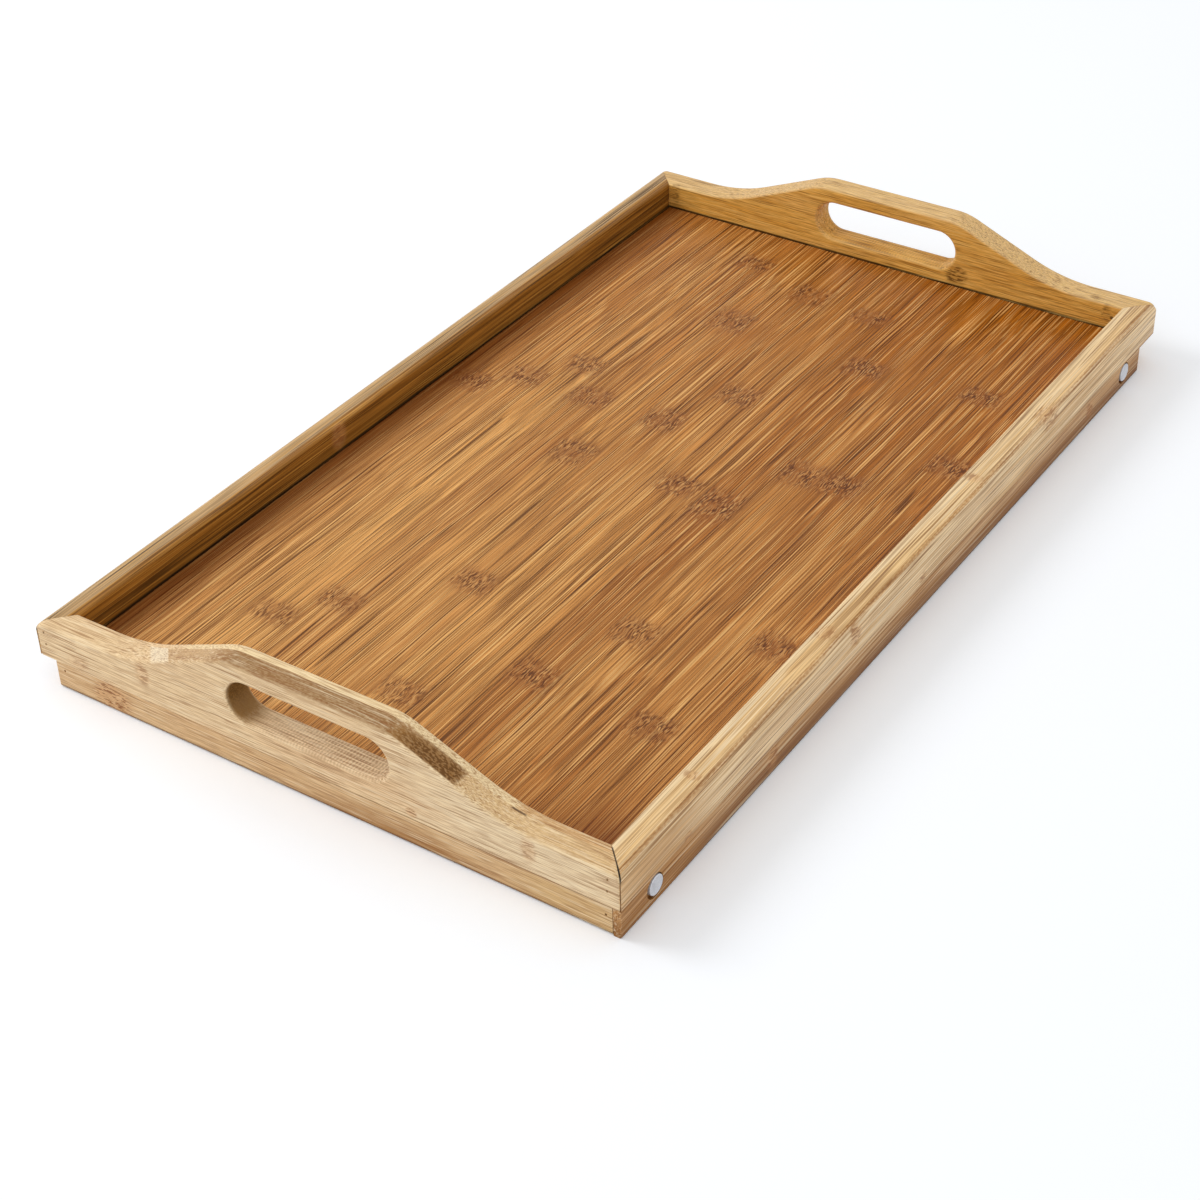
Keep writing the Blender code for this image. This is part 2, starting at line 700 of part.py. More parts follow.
def build():
    clear_scene()
    parts = make_collection("bed_tray")
    cutters = make_collection("cutters")

    brad_holes = make_brads(parts, cutters)
    pivot_holes = make_pivot_holes(cutters)
    make_end_board("left_end_board", 0, brad_holes["left"], parts, cutters)
    make_end_board("right_end_board", pi, brad_holes["right"], parts, cutters)
    make_rail("front_rail", 0, brad_holes["front"] + pivot_holes["front"], parts, cutters)
    make_rail("back_rail", pi, brad_holes["back"] + pivot_holes["back"], parts, cutters)
    make_floor(parts)

    make_leg_frame("left", LEFT_PIVOT_X, 0, parts, cutters)
    make_leg_frame("right", RIGHT_PIVOT_X, pi, parts, cutters)

    place_on_pivots(make_bolt("bolt", parts), "pivot_bolt", HALF_WIDTH, parts)
    place_on_pivots(make_washer("washer", parts), "washer", RAIL_LEDGE_INNER - SEAM, parts)
    place_on_pivots(make_nut("nut", parts, cutters), "cap_nut", NUT_SEAT, parts)
    bpy.context.view_layer.update()


build()
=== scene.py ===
import bmesh
import bpy
import numpy as np
from mathutils import Matrix, Vector


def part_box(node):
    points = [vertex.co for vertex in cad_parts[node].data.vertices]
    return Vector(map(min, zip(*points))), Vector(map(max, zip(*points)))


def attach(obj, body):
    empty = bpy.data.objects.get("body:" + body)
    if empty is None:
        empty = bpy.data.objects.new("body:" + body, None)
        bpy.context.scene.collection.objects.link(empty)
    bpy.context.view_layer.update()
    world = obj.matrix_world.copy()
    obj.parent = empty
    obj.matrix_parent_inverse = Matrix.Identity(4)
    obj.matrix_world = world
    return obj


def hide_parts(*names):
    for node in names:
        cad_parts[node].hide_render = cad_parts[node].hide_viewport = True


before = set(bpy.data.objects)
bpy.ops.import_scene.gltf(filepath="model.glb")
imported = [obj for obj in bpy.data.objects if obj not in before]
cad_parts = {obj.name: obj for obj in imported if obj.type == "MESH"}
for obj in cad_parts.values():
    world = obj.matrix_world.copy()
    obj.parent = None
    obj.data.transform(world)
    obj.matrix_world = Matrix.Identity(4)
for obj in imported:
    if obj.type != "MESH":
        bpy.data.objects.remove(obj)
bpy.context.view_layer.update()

# Bamboo bed tray. Metres, X along the tray, Y across, Z up. Front is -Y and left is -X.
mm = 0.001
degree = np.pi / 180
asDrawn = (1.0, 1.0, 1.0)
halfTurn = (-1.0, -1.0, 1.0)   # the right end board and the back rail are the left and front ones turned
seam = 0.3 * mm                # gap that the parts keep
hair = 0.02 * mm               # keeps faces apart that would otherwise touch
cutOver = 1 * mm               # how far a cutter stands out of its piece


def middleOf(name):
    low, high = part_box(name)
    return (Vector(low) + Vector(high)) / 2


def addObject(name, data):
    item = bpy.data.objects.new(name, data)
    bpy.context.scene.collection.objects.link(item)
    return item


# Mesh building. A shell is a grid of points: each row is a closed loop, and the first and
# last rows are either joined to each other or filled.

# Quads of a grid: corners (i, j), (i+1, j), (i+1, j+1), (i, j+1), indices wrapping where closed.
def gridQuads(rows, columns, closedRows):
    row = np.arange(rows if closedRows else rows - 1)
    a, b = np.meshgrid(row, np.arange(columns), indexing="ij")
    c, d = (a + 1) % rows, (b + 1) % columns
    corners = (a * columns + b, c * columns + b, c * columns + d, a * columns + d)
    return np.stack(corners, axis=-1).reshape(-1, 4)


# Marks are masks on the points: worn edges, the top edge of a board, the wall of its slot.
markNames = ("worn", "edge", "slot")


def shellOf(points, closedRows=False, **marks):
    return {"points": points, "closedRows": closedRows, "marks": marks}


def setMark(mesh, mark, values):
    mesh.attributes.new(mark, "FLOAT", "POINT").data.foreach_set("value", values)


def meshOf(name, shells, turn=asDrawn):
    places, faces, start = [], [], 0
    marks = {mark: [] for mark in markNames}
    for shell in shells:
        rows, columns = shell["points"].shape[:2]
        places.append(shell["points"].reshape(-1, 3) * np.array(turn))
        for mark in markNames:
            values = shell["marks"].get(mark, 0) + np.zeros((rows, columns))
            marks[mark].append(values.reshape(-1))
        faces += (gridQuads(rows, columns, shell["closedRows"]) + start).tolist()
        if not shell["closedRows"]:
            first = start + np.arange(columns)
            faces.append(first.tolist())
            faces.append((first[::-1] + (rows - 1) * columns).tolist())
        start += rows * columns
    mesh = bpy.data.meshes.new(name)
    mesh.from_pydata(np.concatenate(places).tolist(), [], faces)
    for mark, values in marks.items():
        setMark(mesh, mark, np.concatenate(values))
    closeMesh(mesh)
    return mesh


def closeMesh(mesh):
    shape = bmesh.new()
    shape.from_mesh(mesh)
    bmesh.ops.remove_doubles(shape, verts=shape.verts, dist=0.001 * mm)
    bmesh.ops.recalc_face_normals(shape, faces=shape.faces)
    shape.to_mesh(mesh)
    shape.free()
    mesh.shade_smooth()
    mesh.set_sharp_from_angle(angle=35 * degree)


# The piece is named after the CAD node that it replaces.
def placePiece(node, mesh, material, body, cutters=()):
    piece = addObject(node + "_look", mesh)
    for cutter in cutters:
        tool = addObject("cutter", cutter)
        hole = piece.modifiers.new("hole", "BOOLEAN")
        hole.operation = "DIFFERENCE"
        hole.solver = "MANIFOLD"
        hole.object = tool
        graph = bpy.context.evaluated_depsgraph_get()
        pierced = bpy.data.meshes.new_from_object(piece.evaluated_get(graph))
        piece.modifiers.clear()
        piece.data = pierced
        bpy.data.objects.remove(tool)
    if cutters:
        closeMesh(piece.data)
    piece.data.materials.clear()
    piece.data.materials.append(material)
    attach(piece, body)
    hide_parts(node)


# Closed outline through corners (a, b, radius): each is an arc about the point radius / sin(half
# angle) along its bisector, and straights get points near each arc.
def outlineOf(corners, steps=6):
    guard = 0.4 * mm
    places = np.array([corner[:2] for corner in corners], float)
    arcs = []
    for index, (a, b, radius) in enumerate(corners):
        corner = places[index]
        before = places[index - 1] - corner
        after = places[(index + 1) % len(places)] - corner
        before, after = before / np.hypot(*before), after / np.hypot(*after)
        halfAngle = np.arccos(np.clip(before @ after, -1, 1)) / 2
        radius = max(radius, hair)
        bisector = (before + after) / np.hypot(*(before + after))
        centre = corner + bisector * radius / np.sin(halfAngle)
        first = corner + before * radius / np.tan(halfAngle) - centre
        last = corner + after * radius / np.tan(halfAngle) - centre
        start = np.arctan2(first[1], first[0])
        sweep = (np.arctan2(last[1], last[0]) - start + np.pi) % (2 * np.pi) - np.pi
        angle = start + sweep * np.linspace(0, 1, steps + 1)
        arcs.append(centre + radius * np.stack([np.cos(angle), np.sin(angle)], axis=-1))
    outline = []
    for index, arc in enumerate(arcs):
        start, end = arc[-1], arcs[(index + 1) % len(arcs)][0]
        length = np.hypot(*(end - start))
        outline.append(arc)
        if length > 4 * guard:
            share = np.array([guard / length, 0.33, 0.67, 1 - guard / length])[:, None]
            outline.append(start + (end - start) * share)
    return np.concatenate(outline)


# Rectangle with its corners' radii in the order low low, high low, high high, low high.
def rectangle(low, high, radii, steps=6):
    corners = ((low[0], low[1]), (high[0], low[1]), (high[0], high[1]), (low[0], high[1]))
    return outlineOf([(*corner, radius) for corner, radius in zip(corners, radii)], steps)


# Outline drawn in: each point moves by inset * (n1 + n2) / (1 + n1.n2), with the inward normals
# n1 and n2 of the two edges that meet there.
def drawnIn(outline, inset):
    ahead = np.roll(outline, -1, axis=0)
    along = ahead - outline
    winding = np.sign(np.sum(outline[:, 0] * ahead[:, 1] - ahead[:, 0] * outline[:, 1]))
    normal = np.stack([-along[:, 1], along[:, 0]], axis=-1) / np.hypot(along[:, 0], along[:, 1])[:, None]
    normal = normal * winding
    previous = np.roll(normal, 1, axis=0)
    spread = 1 + np.sum(normal * previous, axis=1)
    return outline + inset * (normal + previous) / spread[:, None]


# Outline carried along the third axis from startAt to endAt, functions of its points. Towards each
# end it is drawn in by soft * (1 - sin a), soft * (1 - cos a) back from it, a up to a quarter turn.
def extrusion(outline, startAt, endAt, soft, plane, stations=2):
    angle = np.linspace(0, np.pi / 2, 5)
    insets = np.concatenate([[soft + hair], soft * (1 - np.sin(angle))])
    backs = np.concatenate([[0], soft * (1 - np.cos(angle))])
    wear = np.concatenate([[0], np.sin(2 * angle) ** 0.5])
    rows = []
    for inset, back, mark in zip(insets, backs, wear):
        loop = drawnIn(outline, inset)
        rows.append((loop, startAt(loop) + back, mark))
    for share in np.linspace(0, 1, stations + 2)[1:-1]:
        low, high = startAt(outline) + soft, endAt(outline) - soft
        rows.append((outline, low + (high - low) * share, 0))
    for inset, back, mark in zip(insets[::-1], backs[::-1], wear[::-1]):
        loop = drawnIn(outline, inset)
        rows.append((loop, endAt(loop) - back, mark))
    order = {"YZ": (2, 0, 1), "XZ": (0, 2, 1)}[plane]
    points = [np.concatenate([loop, level[:, None]], axis=1)[:, order] for loop, level, mark in rows]
    worn = [np.full(len(loop), mark) for loop, level, mark in rows]
    return shellOf(np.array(points), worn=np.array(worn))


# A level that is the same for every point of an outline.
def flatAt(level):
    return lambda loop: np.full(len(loop), level)


# Profile of (radius, height) points turned about Z: (r cos a, r sin a, h).
def turnedShell(profile, sides, closedRows=False, radiusAt=None):
    angle = np.linspace(0, 2 * np.pi, sides, endpoint=False)[None, :]
    radius = np.array([point[0] for point in profile])[:, None] * np.ones_like(angle)
    height = np.array([point[1] for point in profile])[:, None] * np.ones_like(angle)
    if radiusAt is not None:
        radius = np.minimum(radius, radiusAt(angle))
    points = np.stack([radius * np.cos(angle), radius * np.sin(angle), height], axis=-1)
    return shellOf(points, closedRows=closedRows)


# The shell moved to a place, with its own Z along the given direction.
def aimed(shell, place, direction):
    turn = np.array(Vector(direction).to_track_quat("Z", "Y").to_matrix())
    return dict(shell, points=shell["points"] @ turn.T + np.array(place))


def rodMesh(radius, start, end, sides=48):
    start, end = Vector(start), Vector(end)
    length = (end - start).length
    rod = turnedShell([(0, 0), (radius, 0), (radius, length), (0, length)], sides)
    return meshOf("rod", [aimed(rod, start, end - start)])


# Shader nodes. An input's value may be a number, a colour or another node's socket.

def feed(node, inputs):
    for key, value in inputs.items():
        if isinstance(value, bpy.types.NodeSocket):
            node.id_data.links.new(value, node.inputs[key])
        else:
            node.inputs[key].default_value = value


# A node goes into the tree that its first linked input comes from.
def addNode(kind, inputs, **settings):
    sockets = (value for value in inputs.values() if isinstance(value, bpy.types.NodeSocket))
    made = next(sockets).id_data.nodes.new("ShaderNode" + kind)
    for key, value in settings.items():
        setattr(made, key, value)
    feed(made, inputs)
    return made


def useGroup(group, inputs):
    return addNode("Group", inputs, node_tree=group).outputs


def calc(operation, a, b=0.0, c=0.0, clamp=False):
    return addNode("Math", {0: a, 1: b, 2: c}, operation=operation, use_clamp=clamp).outputs[0]


def vectorCalc(operation, a, b):
    return addNode("VectorMath", {0: a, 1: b}, operation=operation).outputs[0]


def product(first, *others):
    for factor in others:
        first = calc("MULTIPLY", first, factor)
    return first


def scaled(vector, factor):
    return addNode("VectorMath", {0: vector, "Scale": factor}, operation="SCALE").outputs[0]


def splitOf(vector):
    return addNode("SeparateXYZ", {0: vector}).outputs


def joined(inputs):
    return addNode("CombineXYZ", inputs).outputs[0]


# A mark of the mesh, in the tree of the given socket.
def markOf(socket, mark):
    made = socket.id_data.nodes.new("ShaderNodeAttribute")
    made.attribute_name = mark
    return made.outputs["Fac"]


def blendColours(factor, a, b):
    return addNode("Mix", {0: factor, 6: a, 7: b}, data_type="RGBA").outputs[2]


# The colour moved towards an sRGB tone, as far as the factors' product says.
def tinted(colour, tone, *factors):
    return blendColours(product(*factors), colour, linear(tone))


def ramped(value, low, high, toLow=0.0, toHigh=1.0):
    inputs = {"Value": value, "From Min": low, "From Max": high, "To Min": toLow, "To Max": toHigh}
    return addNode("MapRange", inputs, interpolation_type="SMOOTHSTEP").outputs[0]


def noiseOf(vector, scale, detail=2.0, roughness=0.5):
    inputs = {"Vector": vector, "Scale": scale, "Detail": detail, "Roughness": roughness}
    return addNode("TexNoise", inputs).outputs[0]


# Noise with a scale of its own along each axis.
def stretchedNoise(vector, scales, detail=1.0, roughness=0.5):
    return noiseOf(vectorCalc("MULTIPLY", vector, scales), 1.0, detail, roughness)


# Push of up to half a unit along each axis, from noise.
def pushOf(vector, scale):
    noise = addNode("TexNoise", {"Vector": vector, "Scale": scale, "Detail": 1.0})
    return vectorCalc("SUBTRACT", noise.outputs["Color"], (0.5, 0.5, 0.5))


def newGroup(name, inputs, outputs):
    tree = bpy.data.node_groups.new(name, "ShaderNodeTree")
    for label, kind, value in inputs:
        socket = tree.interface.new_socket(name=label, in_out="INPUT", socket_type="NodeSocket" + kind)
        socket.default_value = value
    for label in outputs:
        tree.interface.new_socket(name=label, in_out="OUTPUT", socket_type="NodeSocketFloat")
    return tree, tree.nodes.new("NodeGroupInput").outputs, tree.nodes.new("NodeGroupOutput")


def linear(colour):
    value = np.array(colour, float) / 255
    light = np.where(value <= 0.04045, value / 12.92, ((value + 0.055) / 1.055) ** 2.4)
    return (*light.tolist(), 1.0)


# Bamboo fibre as a solid pattern along X of the vector: noise stretched along the fibre, whose
# needle-shaped peaks are dark lines and whose valleys are light threads. Flecks show in knots.
def makeFibreGroup():
    tree, given, result = newGroup(
        "bambooFibre",
        [
            ("Vector", "Vector", (0, 0, 0)), ("Knot", "Float", 0.0),
            ("Line Pitch", "Float", 0.8 * mm), ("Line Length", "Float", 150.0),
        ],
        ("Lines", "Threads", "Streaks", "Fine", "Flecks"),
    )
    # the fibre drifts over long stretches and curls round knots
    drift = vectorCalc("MULTIPLY", pushOf(given["Vector"], 14.0), (0, 1.4 * mm, 1.4 * mm))
    reach = calc("MULTIPLY_ADD", given["Knot"], 2.0 * mm, 0.05 * mm)
    curl = scaled(pushOf(given["Vector"], 150.0), reach)
    bent = vectorCalc("ADD", given["Vector"], drift)
    bent = vectorCalc("ADD", bent, vectorCalc("MULTIPLY", curl, (0.3, 1, 1)))
    sized = scaled(bent, calc("DIVIDE", 1.0, given["Line Pitch"]))
    split = splitOf(sized)
    drawn = joined({0: calc("DIVIDE", split[0], given["Line Length"]), 1: split[1], 2: split[2]})
    lines = noiseOf(drawn, 1.0, 1.0)
    force = ramped(stretchedNoise(drawn, (1.6, 0.28, 0.28)), 0.36, 0.6, 0.3, 1.0)
    streaks = stretchedNoise(drawn, (0.5, 0.3, 0.3), 2.0, 0.6)
    # the finest lines keep a beat across the fibre: noise + 0.07 sin(3.3 across + 16 streaks)
    across = product(calc("ADD", split[1], split[2]), 3.3)
    beat = calc("SINE", calc("MULTIPLY_ADD", streaks, 16.0, across))
    fine = calc("MULTIPLY_ADD", beat, 0.07, stretchedNoise(drawn, (3, 1.8, 1.8)))
    feed(result, {
        "Lines": product(ramped(lines, 0.55, 0.63), force),
        "Threads": product(ramped(lines, 0.45, 0.36), force),
        "Streaks": ramped(streaks, 0.3, 0.7),
        "Fine": ramped(fine, 0.4, 0.6),
        "Flecks": ramped(stretchedNoise(sized, (0.14, 0.8, 0.8)), 0.34, 0.66),
    })
    return tree


# One soft spot: 1 inside an ellipsoid round the centre and 0 outside, by distance over size.
def makeSpotGroup():
    tree, given, result = newGroup(
        "softSpot",
        [
            ("Vector", "Vector", (0, 0, 0)), ("Centre", "Vector", (0, 0, 0)), ("Size", "Vector", (1, 1, 1)),
            ("Inner", "Float", 0.5), ("Outer", "Float", 1.15),
        ],
        ("Mask",),
    )
    away = vectorCalc("SUBTRACT", given["Vector"], given["Centre"])
    away = vectorCalc("DIVIDE", away, given["Size"])
    distance = addNode("VectorMath", {0: away}, operation="LENGTH").outputs["Value"]
    feed(result, {"Mask": ramped(distance, given["Outer"], given["Inner"])})
    return tree


fibreGroup = makeFibreGroup()
spotGroup = makeSpotGroup()


# A spot's centre and size are in mm.
def spotMask(vector, centre, size, inner=0.5, outer=1.15):
    places = {"Centre": [value * mm for value in centre], "Size": [value * mm for value in size]}
    return useGroup(spotGroup, {"Vector": vector, "Inner": inner, "Outer": outer, **places})["Mask"]


# Largest of the knots' masks, or 0 where there are none.
def knotsMask(vector, knots):
    mask = 0.0
    for centre, size, strength in knots:
        mask = calc("MAXIMUM", mask, product(spotMask(vector, centre, size), strength))
    return mask


# Area of another tone, in mm and sRGB: within box sides (axis or normal, low, high, softness) and
# the spot (centre, size, inner, outer), on a mark's surfaces, broken up by speckle from 0 to 1.
def area(colour, share, box=(), around=None, mark="", speckle=0.0):
    return dict(colour=colour, share=share, box=box, around=around, mark=mark, speckle=speckle)


def areaMask(vector, item, dots):
    place = splitOf(vector)
    factors = []
    for axis, low, high, soft in item["box"]:
        if isinstance(axis, str):
            socket = place["XYZ".index(axis)]
        else:
            socket = addNode("VectorMath", {0: vector, 1: axis}, operation="DOT_PRODUCT").outputs["Value"]
        factors.append(ramped(socket, (low - soft) * mm, (low + soft) * mm))
        factors.append(ramped(socket, (high + soft) * mm, (high - soft) * mm))
    if item["around"]:
        factors.append(spotMask(vector, *item["around"]))
    if item["mark"]:
        factors.append(markOf(vector, item["mark"]))
    if item["speckle"]:
        factors.append(calc("MULTIPLY_ADD", dots, -item["speckle"], 1.0))
    return product(item["share"], *factors)


def startMaterial(name):
    material = bpy.data.materials.new(name)
    material.use_nodes = True
    tree = material.node_tree
    vector = tree.nodes.new("ShaderNodeTexCoord").outputs["Object"]
    return material, tree.nodes["Principled BSDF"], vector


# Height for a bump: lines are pressed in, threads stand out and knots are pitted.
def fibreHeight(fibre, knots, pits):
    height = calc("MULTIPLY_ADD", fibre["Lines"], -0.9, product(fibre["Threads"], 0.5))
    return calc("MULTIPLY_ADD", product(knots, fibre["Flecks"]), -pits, height)


def coat(shader, colour, rough, height, strength, depth):
    bump = addNode("Bump", {"Height": height, "Strength": strength, "Distance": depth}).outputs[0]
    feed(shader, {"Base Color": colour, "Roughness": rough, "Normal": bump})


# Ripples that the cutter left on the slot's floor: sin(2 pi y / pitch) + 0.7 sin(1.4 pi x / pitch),
# set wandering by noise, fading towards the back.
ripples = {"pitch": 1.6 * mm, "colour": (150, 104, 54), "share": 0.52, "depth": 1.5}


def ripplesMask(vector, mottle):
    place = splitOf(vector)
    wander = product(noiseOf(vector, 420.0, 1.0), 5.0)
    along, across = (
        calc("SINE", calc("MULTIPLY_ADD", place[axis], rate * np.pi / ripples["pitch"], wander))
        for axis, rate in ((1, 2.0), (0, 1.4))
    )
    grid = ramped(calc("MULTIPLY_ADD", across, 0.7, along), -0.6, 1.5)
    floorOnly = ramped(place[2], 31 * mm, 28 * mm)
    fading = ramped(place[1], 35 * mm, -10 * mm, 0.35, 1.0)
    return product(grid, markOf(vector, "slot"), floorOnly, fading, ramped(mottle, 0.3, 0.55, 0.5, 1.0))


def fibreOf(vector, knots, look):
    return useGroup(fibreGroup, {
        "Vector": vector, "Knot": knots, "Line Pitch": look["linePitch"], "Line Length": look["lineLength"],
    })


# The fibre's fine lines, light threads and dark lines over a colour.
def lined(colour, fibre, look):
    colour = tinted(colour, look["line"], fibre["Fine"], look["fineShare"])
    colour = tinted(colour, look["thread"], fibre["Threads"], look["threadShare"])
    return tinted(colour, look["line"], fibre["Lines"], look["lineShare"])


# Solid bamboo, with its colours in sRGB.
def bambooMaterial(name, look):
    material, shader, vector = startMaterial(name)
    knots = knotsMask(vector, look["knots"])
    along = vector
    if look["fibreAxis"] == "Y":
        split = splitOf(vector)
        along = joined({0: split[1], 1: split[0], 2: split[2]})
    fibre = fibreOf(along, knots, look)
    mottle = stretchedNoise(along, (14, 60, 60), 2.0)
    dots = ramped(stretchedNoise(along, (500, 1300, 1300)), 0.42, 0.6)
    ripple = ripplesMask(vector, mottle)
    colour = blendColours(fibre["Streaks"], linear(look["middle"]), linear(look["light"]))
    colour = tinted(colour, look["blush"], ramped(mottle, 0.45, 0.7), look["blushShare"])
    for item in look["areas"]:
        colour = tinted(colour, item["colour"], areaMask(vector, item, dots))
    colour = tinted(colour, ripples["colour"], ripple, ripples["share"])
    colour = lined(colour, fibre, look)
    for item in look["marks"]:
        colour = tinted(colour, item["colour"], areaMask(vector, item, dots))
    if look["knots"]:
        colour = tinted(colour, look["knotTint"], knots, 0.45)
        colour = tinted(colour, look["knot"], knots, ramped(fibre["Flecks"], 0.5, 0.85))
    colour = tinted(colour, look["worn"], markOf(vector, "worn"), look["wornShare"])
    rough = ramped(fibre["Streaks"], 0, 1, look["roughness"] + 0.06, look["roughness"] - 0.06)
    height = calc("MULTIPLY_ADD", ripple, -ripples["depth"], fibreHeight(fibre, knots, 0.8))
    coat(shader, colour, rough, height, look["bump"], 0.12 * mm)
    shader.inputs["Specular IOR Level"].default_value = look["gloss"]
    return material


# Tray frame: sizes that the parts share, as the CAD has them.
tray = {
    "halfLength": 250 * mm,
    "halfWidth": 149 * mm,
    "rim": 31.6 * mm,
    "endThickness": 14 * mm,
    "railThickness": 13.4 * mm,
    "ledge": 14 * mm,
    "ledgeWidth": 3 * mm,
    "tongue": 3.9 * mm,
    "openSetback": 9 * mm,
    "rimRound": 4.5 * mm,
    "jointGap": 0.03 * mm,     # of the mitre, on each side of it
}
endInner = tray["halfLength"] - tray["endThickness"]
railInner = tray["halfWidth"] - tray["railThickness"]
mitreGap = tray["jointGap"] * np.hypot(tray["endThickness"], tray["railThickness"])


# End boards

endBoard = {
    "crest": 54.5 * mm,
    "crestHalfFlat": 35 * mm,
    "crestSlope": 22.5 * degree,
    "crestRadius": 32 * mm,
    "hollowRadius": 90 * mm,
    "slotHalf": 41 * mm,
    "slotRadius": 10.25 * mm,
    "slotMiddle": 36 * mm,
    "slotRound": 1.9 * mm,
    "edgeRound": 1.4 * mm,
    "jointRound": 0.3 * mm,    # lip of the glue line above the lower strip
    "denseStart": 40 * mm,     # the columns stand closer from here on
    "warpStart": 130 * mm,     # past this the columns lean to follow the mitre
    "bradHole": 0.6 * mm,
    "bradReach": 8 * mm,
    "stripRadii": (1.4 * mm, 0.5 * mm, 0.3 * mm, 0.3 * mm),
    "stripSoft": 0.12 * mm,
}


# Height of the board's top edge at y, and the angle it falls at: flat crest, shoulder arc,
# straight slope, hollow arc, flat rim and corner arc, each meeting the next smoothly.
def topEdge(y):
    s = endBoard
    fall = s["crestSlope"]
    crestCorner = s["crestHalfFlat"] + s["crestRadius"] * np.tan(fall / 2)
    shoulderEnd = s["crestHalfFlat"] + s["crestRadius"] * np.sin(fall)
    hollowCorner = crestCorner + (s["crest"] - tray["rim"]) / np.tan(fall)
    hollowEnd = hollowCorner + s["hollowRadius"] * np.tan(fall / 2)
    hollowStart = hollowEnd - s["hollowRadius"] * np.sin(fall)
    cornerStart = tray["halfWidth"] - tray["rimRound"]
    shoulder = np.arcsin(np.clip((y - s["crestHalfFlat"]) / s["crestRadius"], 0, np.sin(fall)))
    hollow = np.arcsin(np.clip((hollowEnd - y) / s["hollowRadius"], 0, np.sin(fall)))
    corner = np.arcsin(np.clip((y - cornerStart) / tray["rimRound"], 0, 1))
    where = [y < s["crestHalfFlat"], y < shoulderEnd, y < hollowStart, y < hollowEnd, y < cornerStart]
    angle = np.select(where, [0 * y, shoulder, fall + 0 * y, hollow, 0 * y], corner)
    heights = [
        s["crest"] + 0 * y,
        s["crest"] - s["crestRadius"] * (1 - np.cos(shoulder)),
        s["crest"] - (y - crestCorner) * np.tan(fall),
        tray["rim"] + s["hollowRadius"] * (1 - np.cos(hollow)),
        tray["rim"] + 0 * y,
    ]
    return np.select(where, heights, tray["rim"] - tray["rimRound"] * (1 - np.cos(corner))), angle


# Rows of the upper end board, as (depth from the outer face, share w, slot widening, outline
# inset, wear, edge, slot). A rounding stands r * (1 - cos a) deep and r * (1 - sin a) aside.
def upperBoardRows():
    s, thick = endBoard, tray["endThickness"]
    quarter = np.linspace(0, np.pi / 2, 7)
    slotLip, edgeLip = (
        [(r * (1 - np.cos(a)), r * (1 - np.sin(a)), np.sin(2 * a), np.sin(a)) for a in quarter]
        for r in (s["slotRound"], s["edgeRound"])
    )
    slotLip = [(depth, 0, aside, 0, wear, 0, mark) for depth, aside, wear, mark in slotLip[::-1]]
    edgeLip = [(depth, 1, 0, aside, wear, mark, 0) for depth, aside, wear, mark in edgeLip]
    slotWall = [
        (thick - s["slotRound"] - (thick - 2 * s["slotRound"]) * share, 0, 0, 0, 0, 0, 1)
        for share in (0.1, 0.3, 0.5, 0.7, 0.9)
    ]
    edgeWall = [
        (s["edgeRound"] + (thick - 2 * s["edgeRound"]) * share, 1, 0, 0, 0, 1, 0)
        for share in (0.05, 0.25, 0.5, 0.75, 0.95)
    ]
    across = (0.01, 0.04, 0.12, 0.3, 0.5, 0.7, 0.88, 0.96, 0.99)
    face = [(0, share, s["slotRound"], s["edgeRound"], 0, 0, 0) for share in across]

    def turnedOver(rows):
        return [(thick - row[0], *row[1:]) for row in rows[::-1]]

    return (
        turnedOver(slotLip) + slotWall + slotLip + face
        + edgeLip + edgeWall + turnedOver(edgeLip) + turnedOver(face)
    )


